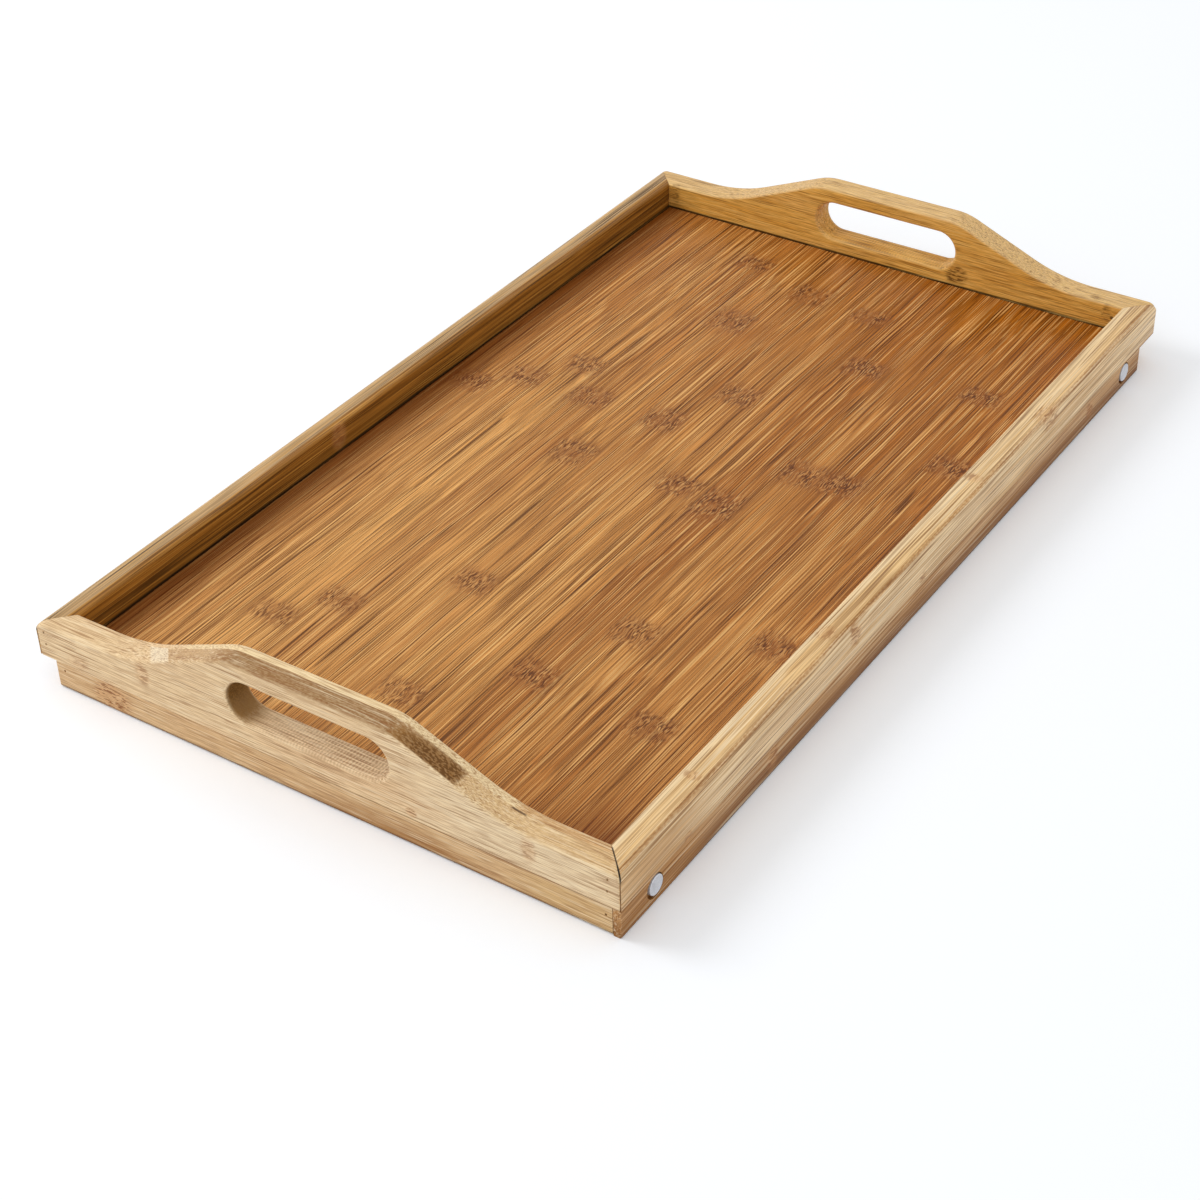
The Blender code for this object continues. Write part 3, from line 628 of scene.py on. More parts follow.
# Upper end board, one grid round the handle slot like a ring: columns run round the outline and,
# beside it, round the slot. A face point is (1 - w) * slot point + w * outline point.
def upperBoardShell():
    s, thick = endBoard, tray["endThickness"]
    columns = (np.array(column, float)[:, None] for column in zip(*upperBoardRows()))
    depth, w, widen, inset, wear, edge, slot = columns

    # half a loop of columns, from the crest's middle down to the middle of the foot
    straight = s["slotHalf"] - s["slotRadius"]
    limit = tray["halfWidth"] - depth * tray["railThickness"] / thick - mitreGap / thick
    free = np.concatenate([
        np.linspace(0, s["denseStart"] / mm, 22, endpoint=False),
        np.linspace(s["denseStart"] / mm, s["warpStart"] / mm, 120, endpoint=False),
    ]) * mm
    lean = np.concatenate([
        np.linspace(0, 0.74, 8, endpoint=False),
        0.74 + 0.26 * np.sin(np.linspace(0, np.pi / 2, 14)),
    ])
    drop = np.linspace(0, 1, 10)[1:]
    back = np.concatenate([np.linspace(0, 0.1, 5)[1:], np.linspace(0.1, 1, 44)[1:]])
    topY = np.concatenate([free + 0 * depth, s["warpStart"] + lean * (limit - s["warpStart"])], axis=1)
    topZ, angle = topEdge(topY)
    topY = topY - inset * np.sin(angle)
    topZ = topZ - inset * np.cos(angle)
    footZ = tray["ledge"] + hair + inset * s["jointRound"] / s["edgeRound"]
    endY, endZ = topY[:, -1:], topZ[:, -1:]
    outlineY = np.concatenate([topY, endY + 0 * drop, endY * (1 - back)], axis=1)
    outlineZ = np.concatenate([topZ, endZ + (footZ - endZ) * drop, footZ + 0 * back], axis=1)

    # the slot's point beside each column: straight part, then round its end
    nominal = np.concatenate([free, s["warpStart"] + lean * (tray["halfWidth"] - s["warpStart"])])
    knees = np.array([40, 97, 112, 115, 149]) * mm
    turns = np.concatenate([
        np.interp(nominal, knees, [90, 0, -20, -27, -32]),
        -32 - 16 * drop,
        np.interp(back, [0, 0.7, 1], [-48, -90, -90]),
    ]) * degree
    slotY = np.concatenate([
        np.minimum(nominal / s["denseStart"], 1) * straight,
        straight + 0 * drop,
        np.interp(back, [0, 0.7, 1], [1, 1, 0]) * straight,
    ])
    reach = s["slotRadius"] + widen
    slotPointY = slotY + reach * np.cos(turns)
    slotPointZ = s["slotMiddle"] + reach * np.sin(turns)
    y = (1 - w) * slotPointY + w * outlineY
    z = (1 - w) * slotPointZ + w * outlineZ
    x = depth - tray["halfLength"] + 0 * y
    half = np.stack([x, y, z], axis=-1)
    other = half[:, -2:0:-1] * np.array([1, -1, 1])
    points = np.concatenate([half, other], axis=1)
    return shellOf(points, closedRows=True, worn=np.clip(wear, 0, 1), edge=edge, slot=slot)


def lowerStripShell():
    inner = -endInner + tray["ledgeWidth"]
    outline = rectangle((-tray["halfLength"], 0), (inner, tray["ledge"] - hair), endBoard["stripRadii"])
    lapEnd = -tray["halfWidth"] + tray["tongue"] + seam
    openEnd = tray["halfWidth"] - tray["openSetback"]
    return extrusion(outline, flatAt(lapEnd), flatAt(openEnd), endBoard["stripSoft"], "XZ", stations=40)


def bradHoles(end):
    holes = []
    out = tray["halfLength"] + cutOver
    side = -1 if end == "left" else 1
    for corner in ("front", "back"):
        for level in bradLevels:
            at = middleOf("_".join(("brad", end, corner, level)))
            start, stop = (side * out, at.y, at.z), (side * (out - endBoard["bradReach"]), at.y, at.z)
            holes.append(rodMesh(endBoard["bradHole"], start, stop, 20))
    return holes


def makeEndBoard(end, turn, material):
    mesh = meshOf(end + "EndBoard", [upperBoardShell(), lowerStripShell()], turn)
    placePiece(end + "_end_board", mesh, material, "tray", bradHoles(end))


# Rails. The section is drawn for the front rail, in Y and Z.

rail = {
    "topInner": 1.2 * mm,
    "footRound": 1.5 * mm,
    "footInner": 0.8 * mm,
    "jointRound": 0.25 * mm,
    "jointInner": 0.3 * mm,
    "tongueRound": 0.2 * mm,
    "tongueLap": 0.05 * mm,    # how far the tongue runs into the rail
    "counterbore": 5.7 * mm,
    "counterboreShift": 0.7 * mm,
    "counterboreDepth": 2.2 * mm,
    "boltHole": 2.8 * mm,
    "boltReach": 6 * mm,
    "soft": 0.2 * mm,
    "tongueSoft": 0.15 * mm,
}


def railShells():
    outer, inner = -tray["halfWidth"], -railInner
    ledgeInner, tongueInner = inner + tray["ledgeWidth"], -tray["halfWidth"] + tray["tongue"]
    above, below = tray["ledge"] + hair, tray["ledge"] - hair
    joint, foot = rail["jointRound"], rail["footRound"]
    topRadii = (joint, joint, rail["topInner"], tray["rimRound"])
    upper = rectangle((outer, above), (inner, tray["rim"]), topRadii, steps=10)

    # the mitre runs from the frame's inner corner to its outer corner
    def mitre(loop):
        slope = tray["endThickness"] / tray["railThickness"]
        return endInner + (-loop[:, 0] - railInner) * slope - mitreGap / tray["railThickness"]

    low = rectangle((outer, 0), (ledgeInner, below), (foot, rail["footInner"], rail["jointInner"], joint))
    tongueRadii = (foot, rail["tongueRound"], rail["tongueRound"], joint)
    tongue = rectangle((outer, 0), (tongueInner, below), tongueRadii)
    lapX = -(endInner - tray["ledgeWidth"]) + seam
    tongueEnd = flatAt(lapX + rail["tongueLap"])
    return [
        extrusion(upper, lambda loop: -mitre(loop), mitre, rail["soft"], "YZ", stations=60),
        extrusion(low, flatAt(lapX), flatAt(-lapX), rail["soft"], "YZ", stations=60),
        extrusion(tongue, flatAt(-tray["halfLength"]), tongueEnd, rail["tongueSoft"], "YZ", stations=4),
    ]


def makeRail(side, turn, material):
    sign = -1 if side == "front" else 1
    out, inside = sign * (tray["halfWidth"] + cutOver), sign * (railInner - rail["boltReach"])
    seat = sign * (tray["halfWidth"] - rail["counterboreDepth"])
    cutters = []
    for end in ("left", "right"):
        at = middleOf(end + "_" + side + "_pivot_bolt")
        boreX = at.x - rail["counterboreShift"]
        cutters.append(rodMesh(rail["boltHole"], (at.x, out, at.z), (at.x, inside, at.z)))
        cutters.append(rodMesh(rail["counterbore"], (boreX, out, at.z), (boreX, seat, at.z), 96))
    mesh = meshOf(side + "Rail", railShells(), turn)
    placePiece(side + "_rail", mesh, material, "tray", cutters)


# Floor panel

panel = {
    "pitch": 20.25 * mm,
    "firstSeam": 129.3 * mm,   # the seam nearest the back rail; the others follow towards the front
    # tone of each strip from the back, as a share between the darker and the lighter colour
    "tones": (0.3, 0.52, 0.60, 0.80, 0.50, 0.70, 0.50, 0.74, 0.64, 0.34, 0.60, 0.38, 0.52, 0.46, 0.3),
    "dark": (170, 102, 48),
    "light": (246, 182, 104),
    "deep": (178, 100, 4),
    "line": (72, 32, 2),
    "thread": (246, 194, 122),
    # painted shade by the back rail and in the near front corner
    "shade": (110, 50, 2),
    "tint": (134, 72, 34),
    "knot": (84, 42, 16),
    "fleck": (230, 176, 108),
    "glue": (0.006, 0.003, 0.001, 1.0),   # linear, as the others aren't
    "linePitch": 0.54 * mm,
    "lineLength": 230.0,
    "fineShare": 0.58,
    "threadShare": 0.72,
    "lineShare": 0.82,
    "tintShare": 0.38,
    "columns": 241,
    "rows": 141,
    "edgeDrop": 0.25 * mm,
    "halfKnot": 10.5,          # in mm, across a strip
    "knots": (                 # x and y in mm, half length in mm
        (25, 120, 8), (43, 99, 8), (-177, 79, 7), (67, 79, 8), (-155, 60, 7), (43, 60, 8), (203, 60, 7),
        (-3, 39, 10), (143, 39, 11), (-113, 18, 8), (44, 18, 9), (188, 17, 9), (-192, -2, 7),
        (82, -2, 9), (-1, -19, 8), (183, -21, 7), (-154, -42, 8), (-7, -42, 12), (137, -42, 8),
        (-107, -63, 9), (37, -63, 10), (38, -83, 9), (-157, -103, 8), (142, -104, 7), (-85, -119, 8),
        (78, -119, 8),
    ),
}


# A box whose rows are loops round its Y and Z section, so the top is a fine grid. The knot mark is
# the largest of exp(-(dx / length)^4 - (dy / half knot)^6).
def panelMesh():
    low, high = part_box("floor_panel")
    y = np.linspace(low[1], high[1], panel["rows"])
    x = np.linspace(low[0], high[0], panel["columns"])
    lift = np.where((y == y[0]) | (y == y[-1]), -panel["edgeDrop"], 0)
    loopY = np.concatenate([y, y[::-1]])
    points = np.zeros((len(x), len(loopY), 3))
    points[..., 0] = x[:, None]
    points[..., 1] = loopY
    points[..., 2] = np.concatenate([high[2] + lift, np.full(len(y), low[2])])
    mesh = meshOf("floorPanel", [shellOf(points)])
    places = np.zeros(len(mesh.vertices) * 3)
    mesh.vertices.foreach_get("co", places)
    places = places.reshape(-1, 3) / mm
    spots = np.array(panel["knots"], float)
    away = np.abs(places[:, None, 0] - spots[:, 0]) / spots[:, 2]
    aside = np.abs(places[:, None, 1] - spots[:, 1]) / panel["halfKnot"]
    setMark(mesh, "knot", np.exp(-away ** 4 - aside ** 6).max(axis=1))
    return mesh


# Tone of each strip, in equal steps of a colour ramp.
def stripTones(index):
    strips = len(panel["tones"])
    tones = addNode("ValToRGB", {0: calc("DIVIDE", calc("ADD", index, 0.5), strips)})
    tones.color_ramp.interpolation = "CONSTANT"
    stops = tones.color_ramp.elements
    for number, tone in enumerate(panel["tones"]):
        stop = stops[number] if number < len(stops) else stops.new(number / strips)
        stop.position = number / strips
        stop.color = (tone, tone, tone, 1)
    return tones.outputs[0]


def panelMaterial():
    material, shader, vector = startMaterial("caramelPanel")
    knot = markOf(vector, "knot")
    place = splitOf(vector)
    # strip number counted from the back, and the distance to the nearest seam
    fromBack = calc("SUBTRACT", panel["firstSeam"] + panel["pitch"], place[1])
    count = calc("DIVIDE", fromBack, panel["pitch"])
    index = calc("FLOOR", count)
    fromSeam = product(calc("PINGPONG", count, 0.5), panel["pitch"])
    # each strip takes its fibre from another part of the pattern
    slide = joined({0: product(index, 0.37), 2: product(index, 0.11)})
    own = vectorCalc("ADD", vector, slide)
    fibre = fibreOf(own, knot, panel)
    wide = ramped(stretchedNoise(own, (5, 70, 70), 2.0), 0.25, 0.75, -0.5, 0.5)
    tone = calc("MULTIPLY_ADD", wide, 0.2, stripTones(index))
    tone = calc("MULTIPLY_ADD", calc("SUBTRACT", fibre["Streaks"], 0.5), 0.24, tone, clamp=True)
    colour = blendColours(tone, linear(panel["dark"]), linear(panel["light"]))
    # deeper orange towards the right and the front
    warmth = ramped(place[1], 120 * mm, -90 * mm, 0.0, 0.3)
    warmth = calc("ADD", warmth, ramped(place[0], -150 * mm, 240 * mm, 0.0, 0.6))
    colour = tinted(colour, panel["deep"], warmth)
    colour = lined(colour, fibre, panel)
    # knots: a darker patch with ragged dark dashes and light flecks
    colour = tinted(colour, panel["tint"], calc("POWER", knot, 0.6), panel["tintShare"])
    ragged = ramped(stretchedNoise(own, (120, 160, 160)), 0.35, 0.6, 0.2, 1.0)
    ragged = product(knot, ragged)
    dashes = ramped(fibre["Flecks"], 0.5, 0.85, 0.0, 0.85)
    colour = tinted(colour, panel["knot"], ragged, dashes)
    flecks = ramped(fibre["Flecks"], 0.25, 0.05, 0.0, 0.4)
    colour = tinted(colour, panel["fleck"], ragged, flecks)
    colour = tinted(colour, panel["line"], ramped(fromSeam, 0.35 * mm, 0.05 * mm, 0.0, 0.3))
    # painted shade along the back rail and in the near front corner, where the frame shades the panel
    shade = ramped(place[1], 108 * mm, 134 * mm, 0.0, 0.64)
    corner = ramped(place[0], -180 * mm, -236 * mm)
    corner = product(corner, ramped(place[1], -85 * mm, -132 * mm, 0.0, 0.88))
    colour = tinted(colour, panel["shade"], calc("MAXIMUM", shade, corner))
    # ragged dark glue lines where the panel meets the frame
    rough = product(noiseOf(vector, 700.0), 0.9 * mm)
    fromSide, fromEnd = (
        calc("SUBTRACT", limit, calc("ADD", calc("ABSOLUTE", place[axis]), rough))
        for axis, limit in ((1, railInner), (0, endInner))
    )
    glue = ramped(calc("MINIMUM", fromSide, fromEnd), 0.55 * mm, 0.2 * mm, 0.0, 0.85)
    colour = blendColours(glue, colour, panel["glue"])
    height = fibreHeight(fibre, knot, 0.4)
    coat(shader, colour, ramped(fibre["Streaks"], 0, 1, 0.46, 0.36), height, 0.5, 0.1 * mm)
    shader.inputs["Specular IOR Level"].default_value = 0.12
    return material


# Legs and crossbars

leg = {
    "depth": 10 * mm,
    "length": 205 * mm,
    "heel": 4.25 * mm,         # heel's reach behind the pivot
    "splay": 0.88 * mm,        # slant of the foot, so that it stands flat when the leg leans out
    "cornerRound": 1.2 * mm,
    "soft": 0.7 * mm,
    "boltHole": 2.8 * mm,
    "cutOver": 2 * mm,
}
crossbar = {"soft": 0.8 * mm, "housing": 3 * mm}
screw = {
    "headRadius": 3.6 * mm,
    "headDepth": 2.0 * mm,
    "radius": 1.7 * mm,
    "length": 27 * mm,
    "point": 3.5 * mm,
    "recessWidth": 0.9 * mm,
    "recessReach": 2.1 * mm,
    "recessDepth": 1.1 * mm,
}
cutSoft = 0.1 * mm             # edges of the blocks that cut housings and recesses


# Block with rounded edges, from its lowest to its highest corner, its long way along Y.
def blockShell(low, high, soft, stations=24):
    outline = rectangle((low[0], low[2]), (high[0], high[2]), [soft] * 4)
    return extrusion(outline, flatAt(low[1]), flatAt(high[1]), 0.8 * soft, "XZ", stations=stations)


# Place on a turned piece's axis that lies furthest out from the tray, and the way out.
def seatOf(name, side):
    low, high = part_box(name)
    middle = middleOf(name)
    sign = -1 if side == "front" else 1
    return (middle.x, low[1] if sign < 0 else high[1], middle.z), (0, sign, 0)


def turnedMesh(name, profile, sides, place, way, **settings):
    return meshOf(name, [aimed(turnedShell(profile, sides, **settings), place, way)])


# Countersunk screw from its head down; a gap all round makes it the hole.
def screwProfile(gap=0.0, top=0.0):
    s = screw
    return [
        (0, top), (s["headRadius"] - 0.3 * mm + gap, top), (s["headRadius"] + gap, top - 0.15 * mm),
        (s["headRadius"] + gap, -0.3 * mm - gap), (s["radius"] + gap, -s["headDepth"] - gap),
        (s["radius"] + gap, -s["length"] + s["point"] - gap), (0, -s["length"] - gap),
    ]


def screwHole(end, side):
    place, way = seatOf(end + "_" + side + "_crossbar_screw", side)
    return turnedMesh("screwHole", screwProfile(seam, cutOver), 32, place, way)


def makeLeg(end, side, material):
    name = end + "_" + side + "_leg"
    low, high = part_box(name)
    pivot = middleOf(end + "_" + side + "_washer")
    half, corner = leg["depth"] / 2, leg["cornerRound"]
    facing = 1 if end == "left" else -1
    outline = outlineOf([
        (-leg["heel"], -half, 0.7 * corner), (leg["length"] + leg["splay"], -half, corner),
        (leg["length"] - leg["splay"], half, corner), (-leg["heel"], half, leg["heel"]),
    ], steps=10) * np.array([facing, 1]) + np.array([pivot.x, pivot.z])
    shell = extrusion(outline, flatAt(low[1]), flatAt(high[1]), leg["soft"], "XZ", stations=3)
    mesh = meshOf(name, [shell])
    inner, out = (high[1], low[1]) if side == "front" else (low[1], high[1])
    over = np.sign(out) * leg["cutOver"]
    bolt = rodMesh(leg["boltHole"], (pivot.x, inner - over, pivot.z), (pivot.x, out + over, pivot.z))
    barLow, barHigh = (np.array(corner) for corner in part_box(end + "_crossbar"))
    ends = sorted((inner - over, inner + np.sign(out) * crossbar["housing"]))
    housingLow = (barLow[0] - seam, ends[0], barLow[2] - seam)
    housingHigh = (barHigh[0] + seam, ends[1], barHigh[2] + seam)
    housing = meshOf("housing", [blockShell(housingLow, housingHigh, cutSoft, stations=1)])
    placePiece(name, mesh, material, end + "_legs", [bolt, housing, screwHole(end, side)])


def makeCrossbar(end, material):
    name = end + "_crossbar"
    mesh = meshOf(name, [blockShell(*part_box(name), crossbar["soft"])])
    cutters = [screwHole(end, "front"), screwHole(end, "back")]
    placePiece(name, mesh, material, end + "_legs", cutters)


def makeScrew(end, side, material):
    name = end + "_" + side + "_crossbar_screw"
    place, way = seatOf(name, side)
    mesh = turnedMesh(name, screwProfile(), 40, place, way)
    reach, width = screw["recessReach"], screw["recessWidth"] / 2
    ends = sorted((place[1] + way[1] * cutOver, place[1] - way[1] * screw["recessDepth"]))
    slots = []
    for across, up in ((reach, width), (width, reach)):
        low = (place[0] - across, ends[0], place[2] - up)
        high = (place[0] + across, ends[1], place[2] + up)
        slots.append(meshOf("recess", [blockShell(low, high, cutSoft, stations=1)]))
    placePiece(name, mesh, material, end + "_legs", slots)


# Pivot bolts, washers, cap nuts and brads

fastener = {
    "headRadius": 4.6 * mm,
    "headThickness": 2.2 * mm,
    "faceSink": 0.2 * mm,      # face of the head below its rolled rim
    "rimWidth": 0.75 * mm,
    "rimRound": 0.45 * mm,
    "shankRadius": 2.5 * mm,
    "shankBevel": 0.5 * mm,
    "washerRadius": 4.8 * mm,
    "washerHole": 2.8 * mm,
    "washerRound": 0.3 * mm,
    "nutAcrossFlats": 8 * mm,
    "nutHex": 3.8 * mm,
    "nutBevel": 0.35 * mm,
    "nutDome": 3.6 * mm,
    "nutBore": 4.5 * mm,
    "bradRadius": 0.45 * mm,
}
bradLevels = ("top", "middle", "low")


# Quarter rounding of a turned profile: centre + radius * (sin a, cos a).
def quarterRound(radiusAt, heightAt, size, start=0.0, end=np.pi / 2):
    angles = np.linspace(start, end, 6)
    return [(radiusAt + size * np.sin(a), heightAt + size * np.cos(a)) for a in angles]


def lengthOf(name):
    low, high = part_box(name)
    return high[1] - low[1]


def placeTurned(name, side, profile, sides, material, slot, **settings):
    mesh = turnedMesh(name, profile, sides, *seatOf(name, side), **settings)
    placePiece(name, mesh, material, "tray")


def makeBolt(end, side, material):
    f, name = fastener, end + "_" + side + "_pivot_bolt"
    length, edge, bevel = lengthOf(name), f["rimRound"], f["shankBevel"]
    flat = f["headRadius"] - f["rimWidth"]
    profile = [(0, -f["faceSink"]), (0.6 * flat, -f["faceSink"]), (flat - 0.15 * mm, -f["faceSink"])]
    profile += [(flat, -0.5 * f["faceSink"]), (flat + 0.15 * mm, 0)]
    profile += quarterRound(f["headRadius"] - edge, -edge, edge)
    profile += [(f["headRadius"], -f["headThickness"]), (f["shankRadius"], -f["headThickness"])]
    profile += [(f["shankRadius"], -length + bevel), (f["shankRadius"] - bevel, -length), (0, -length)]
    placeTurned(name, side, profile, 64, material, "white_metal")


def makeWasher(end, side, material):
    f, name = fastener, end + "_" + side + "_washer"
    thick, r = lengthOf(name), f["washerRound"]
    profile = [(f["washerHole"], 0)] + quarterRound(f["washerRadius"] - r, -r, r)
    profile += quarterRound(f["washerRadius"] - r, r - thick, r, np.pi / 2, np.pi)
    profile += [(f["washerHole"], -thick)]
    placeTurned(name, side, profile, 48, material, "zinc", closedRows=True)


# Hexagon by its flats: radius = (across flats / 2) / cos(angle from the nearest flat's middle).
def hexRadius(angle):
    return fastener["nutAcrossFlats"] / 2 / np.cos(angle % (np.pi / 3) - np.pi / 6)


def makeNut(end, side, material):
    f, name = fastener, end + "_" + side + "_cap_nut"
    corner = f["nutAcrossFlats"] / 2 / np.cos(np.pi / 6)
    profile = [(0, -f["nutBore"]), (f["washerHole"], -f["nutBore"]), (f["washerHole"], 0)]
    profile += [(0.9 * corner, 0), (corner, -f["nutBevel"]), (corner, -f["nutHex"] + f["nutBevel"])]
    profile += [(0.9 * corner, -f["nutHex"]), (f["nutDome"] + 0.1 * mm, -f["nutHex"])]
    for a in np.linspace(0, np.pi / 2, 9):
        profile.append((f["nutDome"] * np.cos(a), -f["nutHex"] - f["nutDome"] * np.sin(a)))
    placeTurned(name, side, profile, 72, material, "zinc", radiusAt=hexRadius)


def makeBrad(name, material):
    low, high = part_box(name)
    middle, r = middleOf(name), fastener["bradRadius"]
    sign = np.sign(middle.x)
    length = high[0] - low[0]
    profile = [
        (0, 0), (0.6 * r, -0.02 * mm), (0.9 * r, -0.08 * mm), (r, -0.2 * mm),
        (r, 0.5 * mm - length), (0, -length),
    ]
    outer = high[0] if sign > 0 else low[0]
    mesh = turnedMesh(name, profile, 16, (outer, middle.y, middle.z), (sign, 0, 0))
    placePiece(name, mesh, material, "tray")


# Metal with a fine speckle and cloudy tarnish.
def metalMaterial(name, look):
    material, shader, vector = startMaterial(name)
    grain = noiseOf(vector, look["grain"], 3.0, 0.7)
    cloud = ramped(noiseOf(vector, 260.0), 0.5, 0.8, 0.0, look["tarnishShare"])
    colour = blendColours(ramped(grain, 0.3, 0.7), linear(look["dark"]), linear(look["light"]))
    colour = tinted(colour, look["tarnish"], cloud)
    rough = ramped(grain, 0.25, 0.75, look["roughness"] - 0.08, look["roughness"] + 0.1)
    coat(shader, colour, rough, grain, look["bump"], 0.05 * mm)
    shader.inputs["Metallic"].default_value = look["metallic"]
    return material


# Camera and light

camera = {
    "place": (-0.7748, -0.5041, 0.6283),
    "forward": (0.6623, 0.4552, -0.5951),
    "right": (0.5519, -0.8336, -0.0234),
    "up": (0.5067, 0.3129, 0.8033),
    "focalPixels": 2350,
    "imagePixels": 1200,
    "sensor": 36.0,
}


def makeCamera():
    data = bpy.data.cameras.new("camera")
    data.sensor_width = camera["sensor"]
    data.lens = camera["sensor"] * camera["focalPixels"] / camera["imagePixels"]
    data.clip_start = 0.01
    item = addObject("camera", data)
    columns = (Vector(camera["right"]), Vector(camera["up"]), -Vector(camera["forward"]))
    turn = Matrix(columns).transposed().to_quaternion().to_matrix().to_4x4()
    item.matrix_world = Matrix.Translation(camera["place"]) @ turn
    bpy.context.scene.camera = item


# A round lamp that faces the tray.
def makeLamp(name, place, size, power):
    data = bpy.data.lights.new(name, "AREA")
    data.shape = "DISK"
    data.size = size
    data.energy = power
    item = addObject(name, data)
    item.location = place
    item.rotation_euler = (-Vector(place)).to_track_quat("-Z", "Y").to_euler()


# Rays of the scene, and 1 for those that the camera follows, also by reflection.
def rayTest(tree):
    path = tree.nodes.new("ShaderNodeLightPath").outputs
    return path, calc("MAXIMUM", path["Is Camera Ray"], path["Is Glossy Ray"])


def makeWorld(fill):
    world = bpy.data.worlds.new("studio")
    world.use_nodes = True
    bpy.context.scene.world = world
    tree = world.node_tree
    tree.nodes.clear()
    path, seen = rayTest(tree)
    seen = calc("MAXIMUM", seen, path["Is Transmission Ray"])
    strength = calc("MULTIPLY_ADD", seen, 1.0 - fill, fill)
    background = addNode("Background", {"Color": (1, 1, 1, 1), "Strength": strength})
    tree.links.new(background.outputs[0], tree.nodes.new("ShaderNodeOutputWorld").inputs[0])


ground = {
    "reach": 4.0,
    "colour": (0.88, 0.91, 0.95, 1),
    "glowColour": (1, 0.975, 0.95, 1),
    "glow": 0.15,
    "underGlow": 0.7,
    "underHalf": (0.2475, 0.1465),   # of the part under the tray, along X and Y
}


# The floor under the tray glows for the surfaces above it only, so that the underside shows.
def makeFloor():
    mesh = bpy.data.meshes.new("studioFloor")
    reach = ground["reach"]
    corners = [(-reach, -reach, 0), (reach, -reach, 0), (reach, reach, 0), (-reach, reach, 0)]
    mesh.from_pydata(corners, [], [(0, 1, 2, 3)])
    item = addObject("studioFloor", mesh)
    item.location.z = -hair
    material, shader, vector = startMaterial("paleFloor")
    feed(shader, {
        "Base Color": ground["colour"], "Roughness": 0.9, "Specular IOR Level": 0.0,
        "Emission Color": ground["glowColour"],
    })
    tree = material.node_tree
    path, seen = rayTest(tree)
    place = splitOf(vector)
    alongX, alongY = (
        calc("LESS_THAN", calc("ABSOLUTE", place[axis]), half)
        for axis, half in enumerate(ground["underHalf"])
    )
    under = product(alongX, alongY, path["Is Diffuse Ray"], ground["underGlow"])
    glow = calc("MULTIPLY_ADD", seen, ground["glow"], under)
    feed(shader, {"Emission Strength": glow})
    # seen from below, the floor lets the legs and the underside show
    clear = tree.nodes.new("ShaderNodeBsdfTransparent")
    behind = tree.nodes.new("ShaderNodeNewGeometry").outputs["Backfacing"]
    mixed = addNode("MixShader", {0: behind, 1: shader.outputs[0], 2: clear.outputs[0]})
    tree.links.new(mixed.outputs[0], tree.nodes["Material Output"].inputs[0])
    mesh.materials.append(material)


bpy.context.scene.view_settings.view_transform = "Standard"
makeCamera()
makeWorld(fill=0.78)
makeLamp("key", place=(-0.5, 1.35, 1.25), size=0.9, power=12.0)
makeLamp("side", place=(-1.7, 0.1, 0.75), size=1.2, power=0.4)
makeFloor()
print("camera, light and floor are set")

endLook = {
    "fibreAxis": "Y",
    "linePitch": 0.6 * mm,
    "lineLength": 45.0,
    "light": (246, 216, 170),
    "middle": (243, 211, 164),
    "line": (140, 84, 34),
    "thread": (255, 236, 200),
    "blush": (224, 170, 118),
    "knot": (140, 84, 38),
    "knotTint": (214, 158, 104),
    "worn": (250, 226, 184),
    "blushShare": 0.15,
    "wornShare": 0.12,
    "fineShare": 0.36,
    "threadShare": 0.4,
    "lineShare": 0.56,
    "roughness": 0.5,
    "gloss": 0.18,
    "bump": 0.5,
    "areas": (),
    "marks": (),
    "knots": (),
}
# normals across the front left mitre, the pale patch and the slope, then sides that areas share
mitreSide = (0.6914, -0.7224, 0)
patchSide = (-0.697, 0.717, 0)
slopeSide = (0, -0.3827, 0.9239)
outerLayer = ("X", -252, -240.6, 0.15)
innerLayer = ("X", -240.6, -233, 0.15)
lowerStrip = ("Z", -5, 14, 0.4)
slotWall = ("X", -249.4, -230, 0.35)
slopeTop = (("X", -249.2, -240.1, 0.3), ("Y", -73, -30, 1.5), (slopeSide, 65.9, 80, 0.3))
# ragged crack that has opened in the top of the front left mitre, wider towards the corner
mitreCrack = (
    area((30, 17, 8), 0.9, (("Z", 27, 34, 1.5), ("X", -249, -237.5, 0.8), (mitreSide, -65.5, -64.9, 0.12))),
    area((12, 6, 2), 0.97, (("Z", 28.5, 34, 1), ("X", -252, -245.5, 1), (mitreSide, -65.55, -64.85, 0.15))),
)
